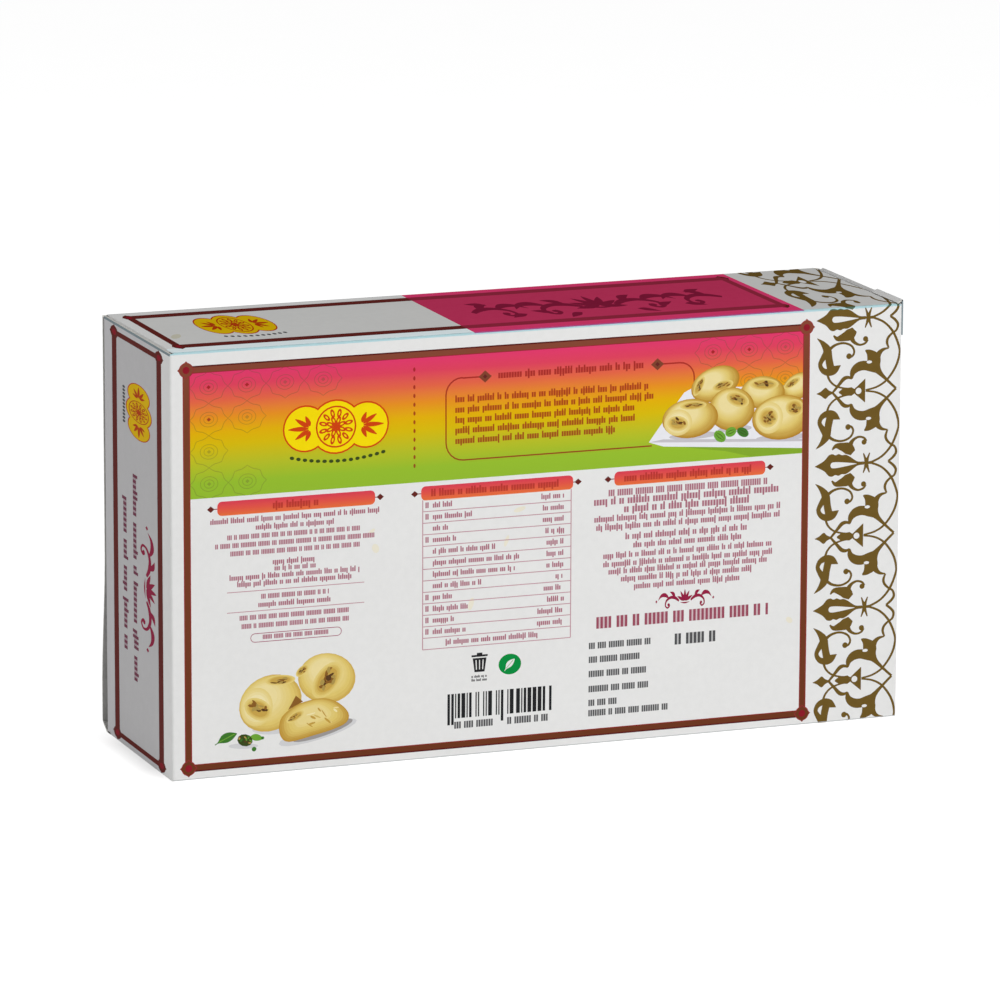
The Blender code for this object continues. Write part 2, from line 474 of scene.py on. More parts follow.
class Artwork:
    """Shapes in a panel's millimetres, later ones over earlier ones."""

    def __init__(self, shapes=None, origin=(0.0, 0.0), right=(1.0, 0.0), up=(0.0, 1.0)):
        self.shapes = [] if shapes is None else shapes
        self.origin = origin
        self.right = right
        self.up = up

    def spot(self, point):
        return tuple(
            self.origin[i] + self.right[i] * point[0] + self.up[i] * point[1] for i in (0, 1)
        )

    def placed(self, origin, turn=0.0, mirror=1, scale=1.0, stretch=1.0):
        """The same artwork, drawn on from another origin: turned, mirrored, scaled or widened."""
        angle = math.radians(turn)
        start = self.spot((0.0, 0.0))

        def direction(x, y):
            end = self.spot((x * scale, y * scale))
            return (end[0] - start[0], end[1] - start[1])

        across = mirror * stretch
        return Artwork(
            self.shapes,
            self.spot(origin),
            direction(across * math.cos(angle), across * math.sin(angle)),
            direction(-math.sin(angle), math.cos(angle)),
        )

    def area(self, points, ink):
        points = [self.spot(point) for point in points]
        size = sum(side_of(points[0], a, b) for a, b in zip(points[1:], points[2:]))
        if size < 0:
            points.reverse()
        if abs(size) > SMALLEST_AREA:
            self.shapes.append((points, ink))

    def box(self, left, low, right, high, ink):
        self.area([(left, low), (right, low), (right, high), (left, high)], ink)

    def rounded_box(self, left, low, right, high, radius, ink):
        corners = (
            (right - radius, low + radius, 270), (right - radius, high - radius, 0),
            (left + radius, high - radius, 90), (left + radius, low + radius, 180),
        )
        points = []
        for x, y, start in corners:
            points += arc((x, y), radius, start, start + 90, 4)
        self.area(points, ink)

    def ellipse(self, centre, radii, ink, turn=0.0, sides=16):
        leaning = self.placed(centre, turn)
        leaning.area(around(radii, sides), ink)

    def diamond(self, centre, half_width, half_height, ink):
        x, y = centre
        self.area(
            [(x - half_width, y), (x, y - half_height), (x + half_width, y), (x, y + half_height)],
            ink,
        )

    def brush(self, knots, ink, closed=False):
        """A stroke through (x, y, width) knots, as four-sided pieces that share their ends."""
        count = len(knots)
        sides = []
        for i, (x, y, width) in enumerate(knots):
            if closed:
                before, after = knots[i - 1], knots[(i + 1) % count]
            else:
                before, after = knots[max(i - 1, 0)], knots[min(i + 1, count - 1)]
            across = Vector((before[1] - after[1], after[0] - before[0])).normalized()
            offset = across * max(width, 0.04) / 2
            sides.append(((x + offset.x, y + offset.y), (x - offset.x, y - offset.y)))
        for i in range(count if closed else count - 1):
            (a, b), (d, c) = sides[i], sides[(i + 1) % count]
            if is_convex(a, b, c, d):
                self.area([a, b, c, d], ink)
            else:
                self.area([a, b, c], ink)
                self.area([a, c, d], ink)

    def stroke(self, knots, ink, steps=5):
        """A brush stroke through a smooth curve of knots."""
        self.brush(smoothed(knots, steps), ink)

    def line(self, points, width, ink, closed=False):
        self.brush([(x, y, width) for x, y in points], ink, closed)

    def ring(self, centre, radii, width, ink, sides=20):
        points = [(centre[0] + x, centre[1] + y) for x, y in around(radii, sides)]
        self.line(points, width, ink, closed=True)


# Print that the panels share

FRAME_WIDTH = 1.8
FRAME_CORE = 0.78
STUD = 1.35
HAIRLINE = 0.2
BOX_LINE = 0.36

# Rows of marks: sizes as shares of their height, and how many marks are tall or have a tail
MARK_PITCH = 0.52
MARK_WIDTH = 0.31
GROUP_GAP = 0.9
TALL_MARK = 1.4
TALL_CHANCE = 0.28
TAIL = 0.35
TAIL_CHANCE = 0.12


def marks(art, left, right, base, height, ink, seed, capitals=False):
    """A row of small upright bars in groups, with a haze of the ink between them."""
    draw = random.Random(seed)
    pitch = MARK_PITCH * height
    haze = ink + "_haze" if ink + "_haze" in INKS else None
    x = left
    while x < right - pitch * 0.8:
        length = min(draw.randint(2, 9), int((right - x) / pitch + 0.2))
        if haze:
            end = x + pitch * (length - 1) + MARK_WIDTH * height
            art.box(x, base, end, base + height * (TALL_MARK if capitals else 1.0), haze)
        for _ in range(length):
            tall = TALL_MARK if capitals or draw.random() < TALL_CHANCE else 1.0
            tail = TAIL if not capitals and draw.random() < TAIL_CHANCE else 0.0
            art.box(x, base - tail * height, x + MARK_WIDTH * height, base + height * tall, ink)
            x += pitch
        x += pitch * GROUP_GAP


def centred_marks(art, middle, width, base, height, ink, seed, capitals=False):
    marks(art, middle - width / 2, middle + width / 2, base, height, ink, seed, capitals)


def stud(art, core, edge):
    """A rounded diamond with a dot, at a frame's corner."""
    for margin, ink in ((0.22, edge), (0.0, core)):
        reach = STUD * 1.48 + margin
        art.diamond((0, 0), reach, reach, ink)
        art.ellipse((0, 0), (STUD * 1.2 + margin, STUD * 1.2 + margin), ink, sides=20)
    art.ellipse((0, 0), (STUD * 0.66, STUD * 0.66), "crimson", sides=12)


def bordered_frame(
    art, left, low, right, high, core, edge,
    widths=(FRAME_WIDTH, FRAME_WIDTH), stud_size=(1.0, 1.0),
):
    """A frame in two inks, whose upright and level bars can have different widths."""
    for share, ink in ((1.0, edge), (FRAME_CORE, core)):
        across, up = widths[0] * share / 2, widths[1] * share / 2
        for y in (low, high):
            art.box(left - across, y - up, right + across, y + up, ink)
        for x in (left, right):
            art.box(x - across, low - up, x + across, high + up, ink)
    if core != edge:
        for y in (low - widths[1] * 0.43, high + widths[1] * 0.43):
            art.line([(left, y), (right, y)], BOX_LINE, "frame_dark")
    for x in (left, right):
        for y in (low, high):
            stretch = stud_size[0] / stud_size[1]
            stud(art.placed((x, y), scale=stud_size[1], stretch=stretch), core, edge)


CARTOUCHE_HALF_WIDTH = 2.02
CARTOUCHE_LOBES = ((-1.16, 0.86), (1.16, 0.86), (0.0, 1.0))


def cartouche(art, centre, half_width, half_height, turn=0.0, paints=("red", "yellow")):
    """A yellow cartouche of three lobes: a lotus rosette between two fans of petals."""
    stretch = half_width / (CARTOUCHE_HALF_WIDTH * half_height)
    here = art.placed(centre, turn, scale=half_height, stretch=stretch)
    red, yellow = paints
    for margin, ink in ((0.0, red), (0.06, yellow)):
        for x, radius in CARTOUCHE_LOBES:
            here.ellipse((x, 0), (radius - margin, radius - margin), ink, sides=28)
    here.ring((0, 0), (0.74, 0.74), 0.06, red, sides=28)
    for count, reach, petal in ((12, 0.5, (0.17, 0.085)), (8, 0.24, (0.17, 0.085))):
        for i in range(count):
            angle = 360 * (i + 0.5) / count
            tip = arc((0, 0), reach, angle, angle, 1)[0]
            here.ellipse(tip, petal, red, turn=angle, sides=10)
            here.ellipse(tip, (petal[0] * 0.45, petal[1] * 0.35), yellow, turn=angle, sides=8)
    here.ellipse((0, 0), (0.1, 0.1), red, sides=12)
    for side in (-1, 1):
        fan = here.placed((side * 0.95, 0), mirror=side)
        for lean, length in ((0, 0.86), (32, 0.7), (-32, 0.7), (66, 0.5), (-66, 0.5)):
            petal = fan.placed((0, 0), lean)
            petal.stroke([
                (0.1, 0, 0.03), (0.4 * length, 0, 0.17), (0.75 * length, 0, 0.13),
                (length, 0, 0.02),
            ], red, 3)


SCROLL_STROKES = (
    ((0.0, 0.0, 0.5), (2.2, 1.3, 0.8), (4.8, 1.5, 0.7), (7.0, 0.2, 0.5), (7.4, -1.6, 0.4),
     (6.2, -2.4, 0.4), (5.3, -1.6, 0.5), (5.8, -0.9, 0.6)),
    ((5.6, 1.3, 0.3), (7.6, 2.6, 1.0), (9.8, 2.3, 0.7), (11.4, 0.7, 0.05)),
    ((2.2, 1.2, 0.3), (3.2, 2.9, 0.9), (5.0, 3.7, 0.05)),
)


def scroll(art, ink, bold=1.0):
    """A curl that grows to the right from the origin, about ten units long."""
    for knots in SCROLL_STROKES:
        art.brush([(x, y, width * bold) for x, y, width in smoothed(knots)], ink)
    art.ellipse((5.8, -1.2), (0.55, 0.55), ink, sides=10)


def lotus(art, ink, petals=5):
    """A fan of pointed petals over a short line, standing on the origin."""
    for i in range(petals):
        lean = (i - (petals - 1) / 2) * 32
        petal = art.placed((0, 0), -lean)
        petal.stroke([(0, 0.2, 0.2), (0, 1.8, 1.3), (0, 3.4, 0.9), (0, 4.6, 0.05)], ink)
    art.stroke([(-2.6, -0.4, 0.05), (0, -0.7, 0.6), (2.6, -0.4, 0.05)], ink)


def flourish(art, centre, width, ink, turn=0.0, rise=1.0, bold=1.0):
    """A lotus with scrolls to both sides. rise makes it taller, and bold its strokes wider."""
    scale = width / 32 * rise
    here = art.placed(centre, turn, scale=scale, stretch=1 / rise)
    lotus(here, ink)
    for side in (-1, 1):
        scroll(here.placed((side * 3.2, 0.2), mirror=side), ink, bold)
        here.diamond((side * 15.6, 0.5), 0.6, 0.6, ink)


def long_flourish(art, centre, width, ink, rise=1.0):
    """A bold flourish with a second pair of scrolls and small petals."""
    here = art.placed(centre, scale=width / 47 * rise, stretch=1 / rise)
    lotus(here, ink, petals=7)
    for side in (-1, 1):
        scroll(here.placed((side * 3.0, 0.2), mirror=side), ink, 1.7)
        scroll(here.placed((side * 22.4, 0.4), mirror=-side, scale=0.9), ink, 1.8)
        for x, y, turn in ((5.0, -2.2, -30), (9.6, -1.6, 25), (14.2, -1.4, -20), (18.0, 3.2, 20)):
            petal = here.placed((side * x, y), side * turn, mirror=side)
            petal.stroke([(0, 0, 0.1), (1.3, 0.2, 1.4), (3.4, 0, 0.05)], ink)


# How a sweet's tones shrink towards its lit upper left, and how far out its nuts lie
LIT_SHRINK = 0.6
LIT_FALL = 1.25
LIT_OFFSET = (-0.16, 0.3)
LIT_TONE = 0.9
NUTS_SPREAD = 1.22


def cream(share):
    """A sweet's tone, from its shade at 0 to its glow at 1."""
    return f"sweet_{round(share * (SWEET_TONES - 1))}"


def nuts(art, centre, radii, turn, seed):
    """Chopped nuts pressed into a dimple."""
    here = art.placed(centre, turn, scale=radii[1] * NUTS_SPREAD, stretch=radii[0] / radii[1])
    for size, share in ((1.45, 0.62), (1.33, 0.54), (1.2, 0.46), (1.08, 0.36), (0.95, 0.25)):
        here.ellipse((0, 0), (size, size * 0.96), cream(share), sides=18)
    draw = random.Random(seed)
    for i in range(15):
        angle = draw.uniform(0, 2 * math.pi)
        reach = draw.uniform(0.1, 0.95)
        here.ellipse(
            (reach * math.cos(angle), reach * math.sin(angle) * 0.9),
            (draw.uniform(0.22, 0.42), draw.uniform(0.13, 0.22)),
            ("nut", "pale_nut", "dark_nut", "nut", "pale_nut")[i % 5],
            turn=draw.uniform(0, 180), sides=6,
        )


def sweet(art, centre, radii, turn=0.0, face=None, dimples=(), seed=1, darkest=0.0):
    """A soft milk sweet: a body shaded from its lit upper left, a pale face, and dimples.

    face is (x, y, half width, half height); each dimple is (x, y, half width, half height, turn).
    darkest is the tone at its rim.
    """
    here = art.placed(centre, turn, scale=radii[1], stretch=radii[0] / radii[1])
    for step in range(SWEET_TONES - 1):
        share = step / (SWEET_TONES - 1)
        size = 1.0 - LIT_SHRINK * share ** LIT_FALL
        tone = cream(darkest + (LIT_TONE - darkest) * share)
        spot = (LIT_OFFSET[0] * share, LIT_OFFSET[1] * share)
        here.ellipse(spot, (size, size), tone, sides=26)
    if face:
        x, y, half_width, half_height = face
        for share, size in ((0.62, 1.0), (0.7, 0.95), (0.78, 0.88), (0.88, 0.78), (1.0, 0.64)):
            art.ellipse((x, y), (half_width * size, half_height * size), cream(share), sides=24)
    for i, (x, y, half_width, half_height, lean) in enumerate(dimples):
        nuts(art, (x, y), (half_width, half_height), lean, seed + i)


def broken_sweet(art, outline, seed):
    """A broken piece, shaded towards its lit top, with a rough broken side."""
    middle = [sum(point[axis] for point in outline) / len(outline) for axis in (0, 1)]
    rim = smoothed(outline + outline[:1], 3)[:-1]
    for step in range(9):
        share = step / 8
        size = 1.0 - 0.56 * share ** 1.3
        rise = 1.1 * share
        art.area([
            (middle[0] + (x - middle[0]) * size, middle[1] + (y - middle[1]) * size + rise)
            for x, y in rim
        ], cream(0.12 + 0.63 * share))
    draw = random.Random(seed)
    for _ in range(12):
        x = middle[0] + draw.uniform(-0.5, 6.5)
        y = middle[1] + draw.uniform(-1.9, 2.4)
        lean = draw.uniform(-70, 20)
        art.ellipse((x, y), (draw.uniform(0.5, 1.3), draw.uniform(0.14, 0.3)),
                    cream(draw.choice((0.2, 0.35, 0.9, 1.0))), turn=lean, sides=8)


def leaf(art, centre, length, turn, ink="green"):
    here = art.placed(centre, turn, scale=length)
    here.stroke([
        (-0.62, -0.02, 0.05), (-0.45, 0, 0.07), (-0.12, 0.03, 0.42), (0.2, 0, 0.38),
        (0.5, -0.03, 0.05),
    ], ink)
    here.brush([(-0.4, 0.01, 0.02), (0.4, 0.0, 0.02)], "pale_green")


def pod(art, centre, radii, turn, ink):
    """A green cardamom pod with two ribs."""
    art.ellipse(centre, radii, ink, turn=turn, sides=16)
    here = art.placed(centre, turn)
    for y in (-0.3, 0.3):
        here.stroke([
            (-radii[0] * 0.8, y * radii[1] * 0.3, 0.05), (0, y * radii[1], 0.16),
            (radii[0] * 0.8, y * radii[1] * 0.3, 0.05),
        ], "deep_green", 3)


# The leafy border along the right edge, in millimetres from the carton's left end. One half of
# its repeat is given, from the palmette's axis to the lozenge's axis, and mirrored on from there.
BORDER_REPEAT = 36.6
BORDER_PALMETTE = 102.1
BORDER_WEIGHT = 1.14
HALF_REPEAT = BORDER_REPEAT / 2

BORDER_STROKES = (
    # the great arc at the right, and the bracket line that crosses it
    ((182.0, 0.0, 0.5), (185.1, 1.4, 0.5), (187.6, 4.0, 0.55), (189.2, 7.6, 0.55),
     (189.4, 9.8, 0.55), (188.4, 12.9, 0.55), (186.1, 16.0, 0.5), (183.4, 17.6, 0.45),
     (180.4, 18.2, 0.4)),
    ((186.8, 0.0, 0.5), (188.1, 1.0, 0.6), (188.9, 2.2, 0.6), (188.5, 3.6, 0.5),
     (187.4, 4.3, 0.5), (186.3, 5.4, 0.6), (186.0, 6.6, 0.6), (186.5, 8.0, 0.4)),
    # the big leaf, which runs on into the lozenge's outer point
    ((186.5, 8.0, 0.3), (185.0, 8.3, 0.7), (183.9, 9.2, 1.2), (183.3, 10.6, 1.6)),
    ((180.2, 8.2, 0.3), (181.3, 8.9, 1.6), (182.4, 10.4, 3.2), (182.9, 12.3, 2.6),
     (184.1, 14.0, 1.2), (186.1, 16.0, 0.65), (188.6, 18.3, 0.55)),
    ((176.6, 15.1, 0.5), (176.9, 13.5, 1.4), (178.2, 12.3, 2.0), (180.1, 12.0, 2.1),
     (182.1, 12.7, 1.9), (183.7, 13.7, 1.0)),
    # the lozenge's inner end
    ((171.5, 18.3, 0.5), (173.2, 16.4, 0.7), (174.5, 15.0, 0.9), (175.7, 14.7, 0.7),
     (176.7, 15.1, 0.4)),
    # the two-tailed leaf at the left, its scroll and the line into the lozenge
    ((167.2, 4.4, 0.1), (168.8, 5.8, 1.1), (170.0, 7.8, 2.0), (168.9, 9.4, 1.3),
     (168.1, 11.0, 1.0), (168.8, 12.5, 1.2), (170.4, 13.1, 1.6), (172.0, 12.5, 1.8),
     (173.6, 11.5, 0.1)),
    ((170.2, 7.8, 1.7), (170.5, 10.2, 1.7), (171.0, 12.4, 1.8)),
    ((170.3, 7.6, 0.8), (172.0, 6.4, 0.6), (174.3, 6.0, 0.5), (176.4, 6.8, 0.5),
     (177.2, 8.3, 0.5), (176.7, 9.4, 0.5), (175.8, 9.6, 0.5)),
    ((170.0, 13.2, 0.6), (170.6, 15.0, 0.5), (172.1, 16.5, 0.45), (174.3, 17.3, 0.4),
     (176.5, 17.5, 0.2)),
    # the palmette's side leaf and its curl
    ((171.6, 3.9, 0.3), (172.6, 4.8, 1.0), (174.4, 4.5, 1.9), (176.0, 3.9, 2.6),
     (177.2, 2.8, 1.5)),
    ((176.2, 4.4, 1.4), (177.1, 5.9, 0.8), (178.6, 6.7, 0.5), (180.1, 6.4, 0.5),
     (180.8, 5.5, 0.5)),
)
BORDER_DOTS = ((175.8, 9.4, 0.75), (180.2, 5.3, 0.7))
PALMETTE_HALF_WIDTHS = (
    (167.0, 0.05), (168.5, 0.75), (169.7, 1.5), (170.7, 2.6), (171.7, 2.85), (172.5, 2.5),
    (173.4, 2.75), (174.3, 2.4), (175.3, 2.45), (176.4, 1.9), (177.4, 1.2), (178.6, 0.5),
    (180.2, 0.4),
)


def border(art, axes, across=lambda x: x):
    """The leafy border, with its palmettes' axes at the given heights."""

    def moved(knots, axis, side):
        return [(across(x), axis + side * d, width * BORDER_WEIGHT) for x, d, width in knots]

    for axis in axes:
        palmette = smoothed(PALMETTE_HALF_WIDTHS, 3)
        outline = [(across(x), axis + half) for x, half in palmette]
        outline += [(across(x), axis - half) for x, half in reversed(palmette)]
        art.area(outline, "gold")
        art.brush(moved(smoothed([
            (171.2, 0, 0.2), (171.6, 0, 1.2), (173.0, 0, 1.3), (175.4, 0, 0.8), (178.2, 0, 0.1),
        ], 3), axis, 1), "white")
        for lean in (-1, 1):
            for rise in (-1, 1):
                art.brush(moved([
                    (180.9, 0, 0.9), (180.9 + lean * 0.35, rise * 1.2, 0.55),
                    (180.9 + lean * 0.85, rise * 2.5, 0.25),
                ], axis, 1), "gold")
        art.brush(moved([(179.8, 0, 0.5), (182.4, 0, 0.7)], axis, 1), "gold")
        for side in (-1, 1):
            for knots in BORDER_STROKES:
                art.brush(moved(smoothed(knots, 4), axis, side), "gold")
            for x, d, radius in BORDER_DOTS:
                art.ellipse((across(x), axis + side * d), (radius, radius), "gold", sides=10)
            art.ellipse((across(181.3), axis + side * 11.2), (0.75, 0.4), "white", sides=8)
        lozenge = axis + HALF_REPEAT
        art.brush(moved(smoothed([
            (167.2, 0, 0.1), (168.4, 0, 1.0), (169.6, 0, 2.5), (170.5, 0, 1.2), (171.6, 0, 0.4),
        ], 3), lozenge, 1), "gold")
        art.brush(moved([
            (173.2, 0, 0.3), (174.2, 0, 1.5), (176.6, 0, 1.9), (177.4, 0, 1.0), (177.5, 0, 1.2),
            (180.2, 0, 5.2), (180.3, 0, 5.2),
        ], lozenge, 1), "gold")
        art.ellipse((across(178.5), lozenge), (0.8, 0.8), "white", sides=12)


# Print of the near panel, which is the pack's back

FRAME_LEFT = 4.1
FRAME_RIGHT = 164.4
FRAME_LOW = 3.0
FRAME_HIGH = 100.65
MEDALLION_PITCH = (9.63, 7.85)
MEDALLION_START = (9.7, 96.2)
MEDALLION_CELLS = ((0, 0), (1, 0), (2, 0), (3, 0), (0, 1), (1, 1), (0, 2), (0, 3), (1, 3))
RIGHT_MEDALLION_START = (139.5, 96.2)
RIGHT_MEDALLION_CELLS = ((0, 0), (1, 0), (2, 0), (1, 1), (2, 1))


def medallion(art, centre, dot):
    """A faint eight-pointed medallion with two rings and a dot."""
    half_width, half_height = MEDALLION_PITCH[0] / 2, MEDALLION_PITCH[1] / 2
    points = []
    for i in range(32):
        angle = 2 * math.pi * i / 32
        reach = 1 - 0.17 * abs(math.sin(4 * angle)) ** 0.8
        if i % 8 == 4:
            reach *= 0.93
        points.append((
            centre[0] + half_width * reach * math.cos(angle),
            centre[1] + half_height * reach * math.sin(angle),
        ))
    art.line(points, HAIRLINE, "band_line", closed=True)
    for size in (0.46, 0.26):
        art.ring(centre, (half_width * size, half_height * size), 0.18, "band_line", sides=18)
    art.diamond(centre, 0.55, 0.5, dot)


def medallions(art, start, cells):
    for column, row in cells:
        spot = start[0] + column * MEDALLION_PITCH[0], start[1] - row * MEDALLION_PITCH[1]
        medallion(art, spot, "band_type" if column + row < 2 else "band_line")


def heading(art, left, right, text_left, text_right, seed):
    """A rounded heading bar between two little diamonds."""
    middle = (PILL_LOW + PILL_HIGH) / 2
    for x, inward in ((left - 1.65, 1), (right + 1.3, -1)):
        art.line([(x, middle), (x + inward * 1.8, middle)], 0.22, "crimson")
        art.diamond((x, middle), 0.95, 0.8, "maroon")
    art.rounded_box(left, PILL_LOW, right, PILL_HIGH, 1.15, "pill")
    marks(art, text_left, text_right, middle - 0.85, 1.35, "pill_type", seed)


def band_contents(art):
    medallions(art, MEDALLION_START, MEDALLION_CELLS)
    medallions(art, RIGHT_MEDALLION_START, RIGHT_MEDALLION_CELLS)
    art.box(FRAME_LEFT, BAND_LOW - 2, FRAME_RIGHT, BAND_LOW, "white")
    for i in range(12):
        art.ellipse((61.8, 97.0 - i * 2.15), (0.3, 0.55), "band_type", sides=8)
    cartouche(art, (41.8, 84.4), 13.5, 6.7)
    for i in range(-7, 8):
        angle = 270 + i * 2.0
        dot = arc((42.2, 124.0), 48.0, angle, angle, 1)[0]
        art.ellipse(dot, (0.6, 0.45), "deep_green", turn=angle - 270, sides=8)


def message_box(art):
    """The outlined box in the band, open at the upper right where the plate stands."""
    outline = [(80.0, 94.1), (74.4, 94.1)] + arc((74.0, 90.1), 4.1, 90, 180, 6)
    outline += arc((74.4, 78.4), 4.5, 180, 270, 6) + [(123.5, 73.9)]
    art.line(outline, BOX_LINE, "band_type")
    right_part = [(124.9, 94.1), (130.6, 94.1)] + arc((130.8, 90.3), 3.8, 90, 0, 6)
    art.line(right_part + [(134.6, 88.0)], BOX_LINE, "band_type")
    for x in (80.0, 124.9):
        art.diamond((x, 94.1), 1.7, 1.5, "brown")
        art.diamond((x, 94.1), 0.6, 0.55, "maroon")
    marks(art, 83.4, 121.8, 93.4, 1.35, "band_type", 11)
    for i, right in enumerate((123.1, 124.1, 119.2, 119.8, 114.1)):
        marks(art, 72.3, right, 88.2 - i * 2.56, 1.25, "band_type", 20 + i)


def plate_of_sweets(art):
    """Round sweets and cardamom pods on a white plate, at the band's right end."""
    past = FRAME_RIGHT + 4
    art.area([
        (131.5, 73.0), (past, 70.6), (past, 69.3), (150.0, 69.3), (143.0, 71.2),
    ], "green_shadow")
    art.area([
        (122.7, 74.8), (125.6, 78.6), (132.0, 86.6), (134.2, 87.6), (past, 86.0), (past, 72.4),
        (163.4, 72.4), (126.5, 75.2),
    ], "plate")
    art.area([
        (122.7, 74.8), (126.5, 75.3), (past, 72.5), (past, 71.6), (163.4, 71.6), (127.0, 74.2),
    ], "plate_shade")
    art.area([
        (122.7, 74.8), (127.0, 74.5), (past, 71.9), (past, 70.3), (163.4, 70.5), (126.6, 73.5),
    ], "plate")
    for x, y, half in ((134.5, 75.7, 6.5), (145.5, 76.6, 4.5), (158.0, 73.6, 7.0)):
        art.ellipse((x, y), (half, 0.9), "plate_shade", sides=18)
    sweet(art, (140.2, 88.2), (6.6, 4.2), 18, None,
          ((135.9, 87.9, 1.5, 0.6, 62), (142.2, 87.6, 1.6, 0.75, 14)), 3)
    sweet(art, (162.6, 86.2), (4.6, 3.2), 20, None, ((160.6, 87.0, 1.4, 0.55, 28),), 5)
    sweet(art, (152.8, 85.2), (5.9, 4.1), -4, None, ((153.2, 87.2, 2.2, 0.85, -4),), 7)
    sweet(art, (144.6, 81.6), (6.1, 5.4), -8, None, ((146.2, 83.9, 1.8, 1.05, -22),), 9)
    sweet(art, (133.6, 80.0), (7.4, 4.9), 2, (130.4, 79.2, 3.7, 3.3),
          ((130.3, 79.0, 1.6, 1.1, -10), (134.4, 83.2, 2.0, 0.6, 0)), 11)
    sweet(art, (158.0, 78.6), (8.0, 5.6), 2, (154.6, 78.7, 3.7, 4.0),
          ((154.3, 78.8, 1.5, 1.5, -20), (161.4, 80.8, 1.4, 1.25, -14)), 15)
    pod(art, (147.6, 75.6), (1.7, 1.1), -30, "green")
    pod(art, (144.4, 75.9), (1.5, 1.2), 20, "pale_green")
    pod(art, (141.5, 75.0), (1.8, 1.3), -40, "pale_green")
    art.box(FRAME_RIGHT, BAND_LOW - 1, LENGTH + 1, FRAME_HIGH, "white")


LEFT_TEXT = (
    (62.6, 43.0, False), (60.6, 20.1, False), (58.5, 34.5, True), (56.5, 40.6, True),
    (54.5, 33.0, True), (51.8, 11.6, False), (50.2, 10.7, False), (48.5, 33.5, False),
    (46.8, 29.6, False), (43.5, 17.5, True), (41.5, 19.0, False), (38.5, 28.5, True),
    (36.4, 27.5, True),
)
LEFT_TEXT_MIDDLE = 31.4
TABLE_LABELS = (5.1, 10.3, 4.2, 6.4, 16.3, 22.8, 21.5, 13.1, 5.5, 9.6, 5.7, 8.8)
TABLE_VALUES = (6.2, 5.8, 5.8, 5.1, 4.8, 4.8, 4.8, 2.4, 5.5, 4.6, 7.1, 7.2)
TABLE_NUMBERED = (0, 1, 3, 8, 9, 10, 11)
RIGHT_TEXT = (
    (62.1, 42.4, 1.45, True), (60.0, 50.0, 1.45, False), (57.8, 34.2, 1.45, False),
    (55.8, 49.8, 1.15, False), (53.7, 48.8, 1.15, False), (51.0, 33.4, 1.2, False),
    (48.8, 29.2, 1.15, False), (46.5, 45.0, 1.1, False), (44.4, 45.0, 1.1, False),
    (42.5, 42.2, 1.1, False), (40.5, 35.6, 1.1, False), (38.4, 28.7, 1.1, False),
)
RIGHT_TEXT_MIDDLE = 133.4
DARK_LABELS = (
    (24.1, 123.9), (20.6, 121.9), (17.0, 122.8), (13.2, 123.6), (9.7, 115.2), (7.1, 128.8),
)


def left_column(art):
    for i, (base, width, capitals) in enumerate(LEFT_TEXT):
        height = 0.85 if capitals else 1.0
        centred_marks(art, LEFT_TEXT_MIDDLE, width, base, height, "small_type", 40 + i, capitals)
    for y in (45.6, 40.6):
        art.line([(14.0, y), (48.9, y)], HAIRLINE, "rule")
    left_cap = arc((21.0, 33.95), 1.05, 90, 270, 6)
    right_cap = arc((42.0, 33.95), 1.05, -90, 90, 6)
    art.line(left_cap + right_cap, HAIRLINE, "small_type", closed=True)
    centred_marks(art, LEFT_TEXT_MIDDLE, 16.8, 33.5, 0.8, "small_type", 60, True)


BROKEN_PIECE = [
    (27.0, 11.2), (27.8, 13.8), (31.0, 16.2), (34.6, 17.3), (38.6, 17.6), (42.2, 16.2),
    (44.8, 13.5), (44.4, 11.1), (40.9, 9.6), (35.4, 8.4), (29.6, 7.4), (27.5, 8.9),
]


def left_sweets(art):
    """Two sweets and a broken piece with leaves and nuts, in the lower left corner."""
    for x, y, half_width, half_height, turn, ink in (
        (37.0, 9.2, 10.2, 1.9, 12, "soft_shadow"), (38.2, 9.6, 8.0, 1.5, 14, "deep_shadow"),
        (24.6, 10.9, 4.4, 1.2, -4, "soft_shadow"), (18.0, 7.4, 3.8, 0.7, -4, "soft_shadow"),
    ):
        art.ellipse((x, y), (half_width, half_height), ink, turn=turn, sides=20)
    sweet(art, (39.3, 22.5), (7.4, 6.2), -12, None,
          ((39.4, 22.0, 2.9, 1.8, 52), (33.0, 24.9, 1.1, 0.6, 40)), 21, 0.3)
    sweet(art, (24.9, 17.5), (8.1, 6.9), 20, (21.4, 16.8, 4.1, 4.8),
          ((21.8, 16.2, 2.2, 1.5, -32), (27.4, 23.0, 2.2, 0.75, 0)), 25, 0.3)
    art.area([(29.4, 15.4), (31.4, 18.8), (33.2, 17.2)], "nut")
    broken_sweet(art, BROKEN_PIECE, 31)
    nuts(art, (31.2, 13.6), (1.4, 0.6), 28, 33)
    leaf(art, (13.8, 9.7), 5.4, 24, "green")
    leaf(art, (21.2, 9.2), 3.8, -8, "pale_green")
    draw = random.Random(17)
    art.ellipse((18.4, 8.8), (2.0, 1.5), "deep_green", turn=-18, sides=11)
    for i in range(12):
        spot = (18.4 + draw.uniform(-1.6, 1.6), 8.8 + draw.uniform(-1.1, 1.1))
        art.ellipse(spot, (draw.uniform(0.25, 0.5), draw.uniform(0.15, 0.28)),
                    ("pale_nut", "green", "dark_nut", "pale_green")[i % 4],
                    turn=draw.uniform(0, 180), sides=6)
    for x, y, radius in ((20.7, 6.4, 0.6), (22.9, 9.0, 0.4)):
        art.ellipse((x, y), (radius, radius), "green", sides=10)


def stains(art, spots, ink):
    """Faint old stains on the white: each is (x, y, half width, half height, turn)."""
    for x, y, half_width, half_height, turn in spots:
        art.ellipse((x, y), (half_width, half_height), ink, turn=turn, sides=11)


